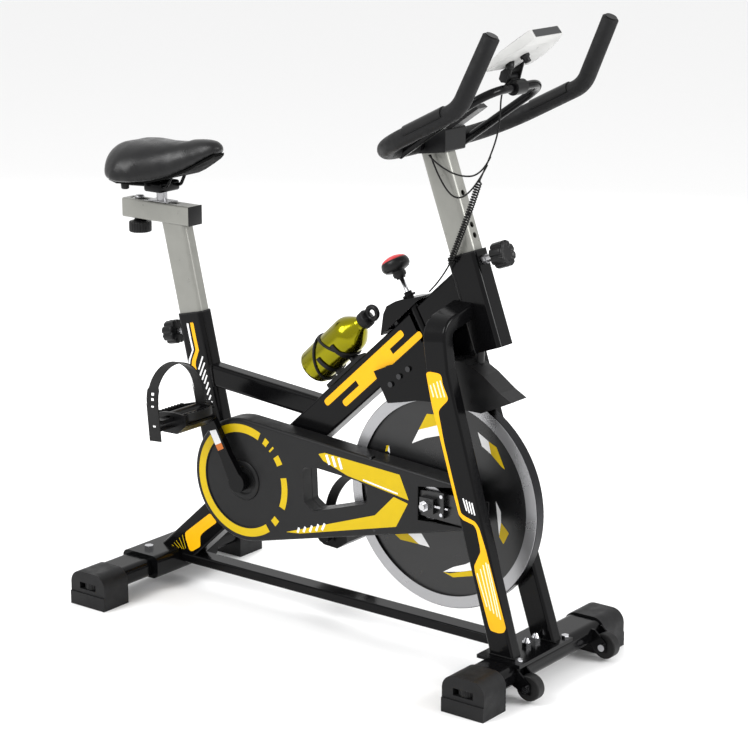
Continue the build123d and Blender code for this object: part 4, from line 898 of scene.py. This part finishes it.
def make_moving_films():
    """The strip on the right crank and the six fins on the flywheel's near face."""
    y = ARM_FACE - FILM
    white = [(-283, 378), (-266, 384), (-252, 359), (-268, 351)]
    side_film("crank_film_white", "crankset", y, [white], M["white_film"], "black_frame")
    orange = [(-268, 351), (-252, 359), (-246, 348), (-261, 340)]
    side_film("crank_film_orange", "crankset", y, [orange], M["orange"], "black_frame", 1)
    disc_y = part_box("flywheel_disc")[0].y * 1000 + FIN_DEPTH
    yellow = [
        [(203, 481), (224, 483), (229, 463), (184, 446)],
        [(107, 401), (113, 402), (110, 390), (104, 388)],
        [(128, 224), (160, 232), (186, 216), (142, 216)],
        [(244, 172), (259, 172), (316, 191), (318, 180), (268, 166)],
        [(346, 452), (364, 444), (384, 404), (376, 408), (352, 428)],
        [(377, 299), (395, 281), (383, 257), (373, 270)],
    ]
    white = [
        [(168, 416), (184, 446), (229, 463), (236, 444), (202, 433)],
        [(110, 390), (113, 402), (116, 386)],
        [(160, 232), (192, 239), (212, 215), (186, 216)],
        [(244, 172), (268, 187), (297, 199), (314, 210), (316, 191), (284, 181)],
        [(321, 466), (346, 452), (352, 428), (331, 440)],
        [(364, 339), (376, 320), (377, 299), (373, 272)],
    ]
    side_film("fins_yellow", "flywheel", disc_y, yellow, M["lime"], "flywheel_iron", 1.5)
    side_film("fins_white", "flywheel", disc_y, white, M["white_film"], "flywheel_iron", 1.5)


# ---------------------------------------------------------------- console
CASE_REAR = (363.0, 1147.0)     # rear end of the console's case, X and Z
CASE_TILT = 34.4                # degrees that its length rises towards the front


def case_at(along, y, up):
    """A point of the console's frame: along its tilted length, across, and out of its top."""
    a = math.radians(CASE_TILT)
    x = CASE_REAR[0] + along * math.cos(a) - up * math.sin(a)
    z = CASE_REAR[1] + along * math.sin(a) + up * math.cos(a)
    return at(x, y, z)


def flat_plate(name, corners, material):
    """A thin plate on the console's case."""
    mesh = bmesh.new()
    mesh.faces.new([mesh.verts.new(corner) for corner in corners])
    put(name, mesh, "console", material, slot="console_white")


def make_console():
    """The case, tapered to its front, on two ears, with its plugs, dark band and display."""
    plan = [(0, 66), (6, 74), (10, 74), (44, 74), (88, 55), (109, 45.7)]
    points = []
    for along, half in plan:
        low = max(0, (along - 88) * 4 / 22)
        top = 6 + 0.4 * along if along < 10 else 10 + (along - 10) * 12 / 98
        for y in (-half, half):
            points += [case_at(along, y, low), case_at(along - (1 if along > 100 else 0), y, top)]
    hull_piece("console_case", "console", points, 0.0022, M["white"], slot="console_white",
               replaced=("console_housing",))
    ear_side = [(357, 1130), (362, 1124), (374, 1124), (379, 1130), (388, 1162), (361, 1144)]
    for name, side in (("right", -1), ("left", 1)):
        ear = [at(x, y, z) for y in (side * 15.5, side * 19.2) for x, z in ear_side]
        hull_piece("console_ear_" + name, "console", ear, 0.0006, M["knob"], slot="knob_plastic")
    plug = [(1, 9), (5.8, 9), (6.2, 0), (7.2, 0.6), (8, 4), (8, 15)]
    turned("console_plug", plug, at(*LEAD_PLUG, 1150), (0, 0, 1), "console", M["knob"], slot="knob_plastic")
    spare = [(3, 0), (6, 0.6), (6.5, 2), (6.5, 10), (9, 10.5), (9, 16)]
    turned("console_plug_spare", spare, case_at(50, -8, -15), case_at(50, -8, 0) - case_at(50, -8, -10),
           "console", M["knob"], slot="knob_plastic")
    front = ((110.2, -41, 5.5), (110.2, 41, 5.5), (108.6, 40, 20.5), (108.6, -40, 20.5))
    flat_plate("console_band", [case_at(*corner) for corner in front], M["glass"])
    lid = ((42, -44), (42, 44), (92, 38), (92, -38))
    flat_plate("console_display", [case_at(x, y, 10.5 + (x - 10) * 12 / 98) for x, y in lid], M["glass"])


# ---------------------------------------------------------------- pedals
PEDAL_Y = 151.0      # middle of a pedal across the bike
STRAP = 0.0024       # thickness of the straps, in metres
SLOTS = (58.7, 46, 33.7, -6)    # heights of the toe straps' slots


def pedal_at(sign, x, y, z):
    """A point of a pedal's frame: along the foot, outward from the pedal's middle, and up."""
    a = math.radians(120 if sign < 0 else 300)
    rise = math.radians(5 if sign < 0 else 0)
    return at(CRANK[0] + ARM * math.cos(a) + x * math.cos(rise) - z * math.sin(rise),
              sign * (PEDAL_Y + y),
              CRANK[1] + ARM * math.sin(a) + x * math.sin(rise) + z * math.cos(rise))


def thicken(piece, offset):
    """Give a sheet the straps' thickness."""
    shell = piece.modifiers.new("thickness", "SOLIDIFY")
    shell.thickness = STRAP
    shell.offset = offset
    apply_modifiers(piece)
    piece.data.set_sharp_from_angle(angle=math.radians(40))


def band(name, sign, path, widths, slots=()):
    """A flat strap along a path of (y, z); slots are heights of 5 mm openings in its outer side."""
    mesh = bmesh.new()
    rows = []
    for (y, z), half in zip(path, widths):
        rows.append([mesh.verts.new(pedal_at(sign, x, y, z)) for x in (-half, -4.5, 4.5, half)])
    for i, (lower, upper) in enumerate(zip(rows, rows[1:])):
        middle = (path[i][1] + path[i + 1][1]) / 2
        open_here = path[i][0] > 70 and any(abs(middle - slot) < 2.6 for slot in slots)
        for k in range(3):
            if k != 1 or not open_here:
                mesh.faces.new((lower[k], lower[k + 1], upper[k + 1], upper[k]))
    body = "right_pedal" if sign < 0 else "left_pedal"
    strap = put(name, mesh, body, M["rubber"], smooth=True, slot="knob_plastic")
    thicken(strap, 0)
    return strap


def make_straps():
    """Toe straps: a loop that bulges outside each pedal, with a wider slotted end below."""
    loop = [(-48.4, -15 + i * 55 / 12) for i in range(12)]
    for i in range(41):
        a = math.pi * i / 40
        loop.append((20.4 - 67.8 * math.cos(a), 40 + 67.2 * math.sin(a)))
    loop += [(89.2, 38 - i * 2) for i in range(38)]
    widths = [15.0 if y > 50 and z < 66 else 12.0 for y, z in loop]
    under = [(88.2 - i * 41 / 6, -15.2) for i in range(7)]
    for name, sign in (("right", -1), ("left", 1)):
        strap = band("toe_strap_" + name, sign, loop, widths, SLOTS)
        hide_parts("pedal_strap_" + name)
        band("toe_strap_under_" + name, sign, under, [12.0] * len(under))


def make_pedal_band():
    """The curved band across the front of the right pedal."""
    front = [(36, 40), (44, 37), (49, 30), (52, 20), (53.5, 8), (53.5, -4), (52, -16), (49, -26),
             (44, -34), (38, -39)]
    mesh = bmesh.new()
    rows = [[mesh.verts.new(pedal_at(-1, x, y, z)) for z in (-3, 12)] for x, y in front]
    for lower, upper in zip(rows, rows[1:]):
        mesh.faces.new((lower[0], lower[1], upper[1], upper[0]))
    guard = put("pedal_band_right", mesh, "right_pedal", M["rubber"], smooth=True, slot="knob_plastic")
    thicken(guard, -1)


def make_rails():
    """Saddle clamp, its two rails and the rubber blocks behind it."""
    clamp = [at(x, y, z) for x in (-508.5, -460.5) for y in (-31, 31) for z in (832, 854)]
    hull_piece("saddle_clamp", "saddle", clamp, 0.006, M["black"], slot="black_frame",
               replaced=("saddle_rails",))
    block = [(6.5, 0), (8, 1.5), (10, 26)]
    for name, side in (("right", -22), ("left", 22)):
        corners = [at(-548, side * 1.9, 872), at(-542, side * 1.8, 846), at(-505, side, 845),
                   at(-452, side, 845), at(-436, side * 0.9, 872)]
        rail = tube_mesh(filleted(corners, [0.010] * 3), 0.0035, 16)
        put("saddle_rail_" + name, rail, "saddle", M["black"], smooth=True, slot="black_frame")
        turned("saddle_block_" + name, block, at(-528, side * 62 / 22, 840), (0, 0, 1), "saddle",
               M["rubber"], slot="black_frame")


def make_reflectors():
    """Pedal reflectors; the right pedal's front one is left out under its band."""
    kept = (("right", -1, "rear", -44), ("left", 1, "front", 44), ("left", 1, "rear", -44))
    for name, sign, end, x in kept:
        plate = [pedal_at(sign, x + depth, y, z)
                 for depth in (-0.5, 1.6) for y in (-18, 18) for z in (-4.5, 4.5)]
        hull_piece(f"reflector_{name}_{end}", f"{name}_pedal", plate, 0.0005, M["reflector"],
                   slot="knob_plastic")


def make_rail_cap():
    """The black plug in the seat rail's front end."""
    cap = [at(x, y, z) for x in (-396.4, -393.6) for y in (-20.2, 20.2) for z in (770.3, 810.2)]
    hull_piece("seat_rail_cap", "seat_post_body", cap, 0.0012, M["knob"], slot="knob_plastic")


def make_bottle_straps():
    """Two rings round the bottle that meet over it and part towards the beam."""
    for name, reach in (("upper", 22.5), ("lower", -22.5)):
        path = []
        for i in range(73):
            a = 2 * math.pi * i / 72
            along = BOTTLE_ALONG + 62 + reach * (1 - math.cos(a))
            path.append(beam_at(along, BOTTLE_ABOVE + 38.4 * math.cos(a), 38.4 * math.sin(a)))
        put("bottle_strap_" + name, tube_mesh(path, 0.0025, 12, dome=False), "frame", M["rubber"],
            smooth=True, slot="knob_plastic")


make_stage()
dress_cad()
make_cords()
make_grips()
make_saddle()
make_saddle_shell()
make_knobs()
make_bottle()
make_welds()
make_guard_films()
make_beam_films()
make_seat_tube_films()
make_leg_films()
make_moving_films()
make_console()
make_straps()
make_pedal_band()
make_rails()
make_reflectors()
make_rail_cap()
make_bottle_straps()
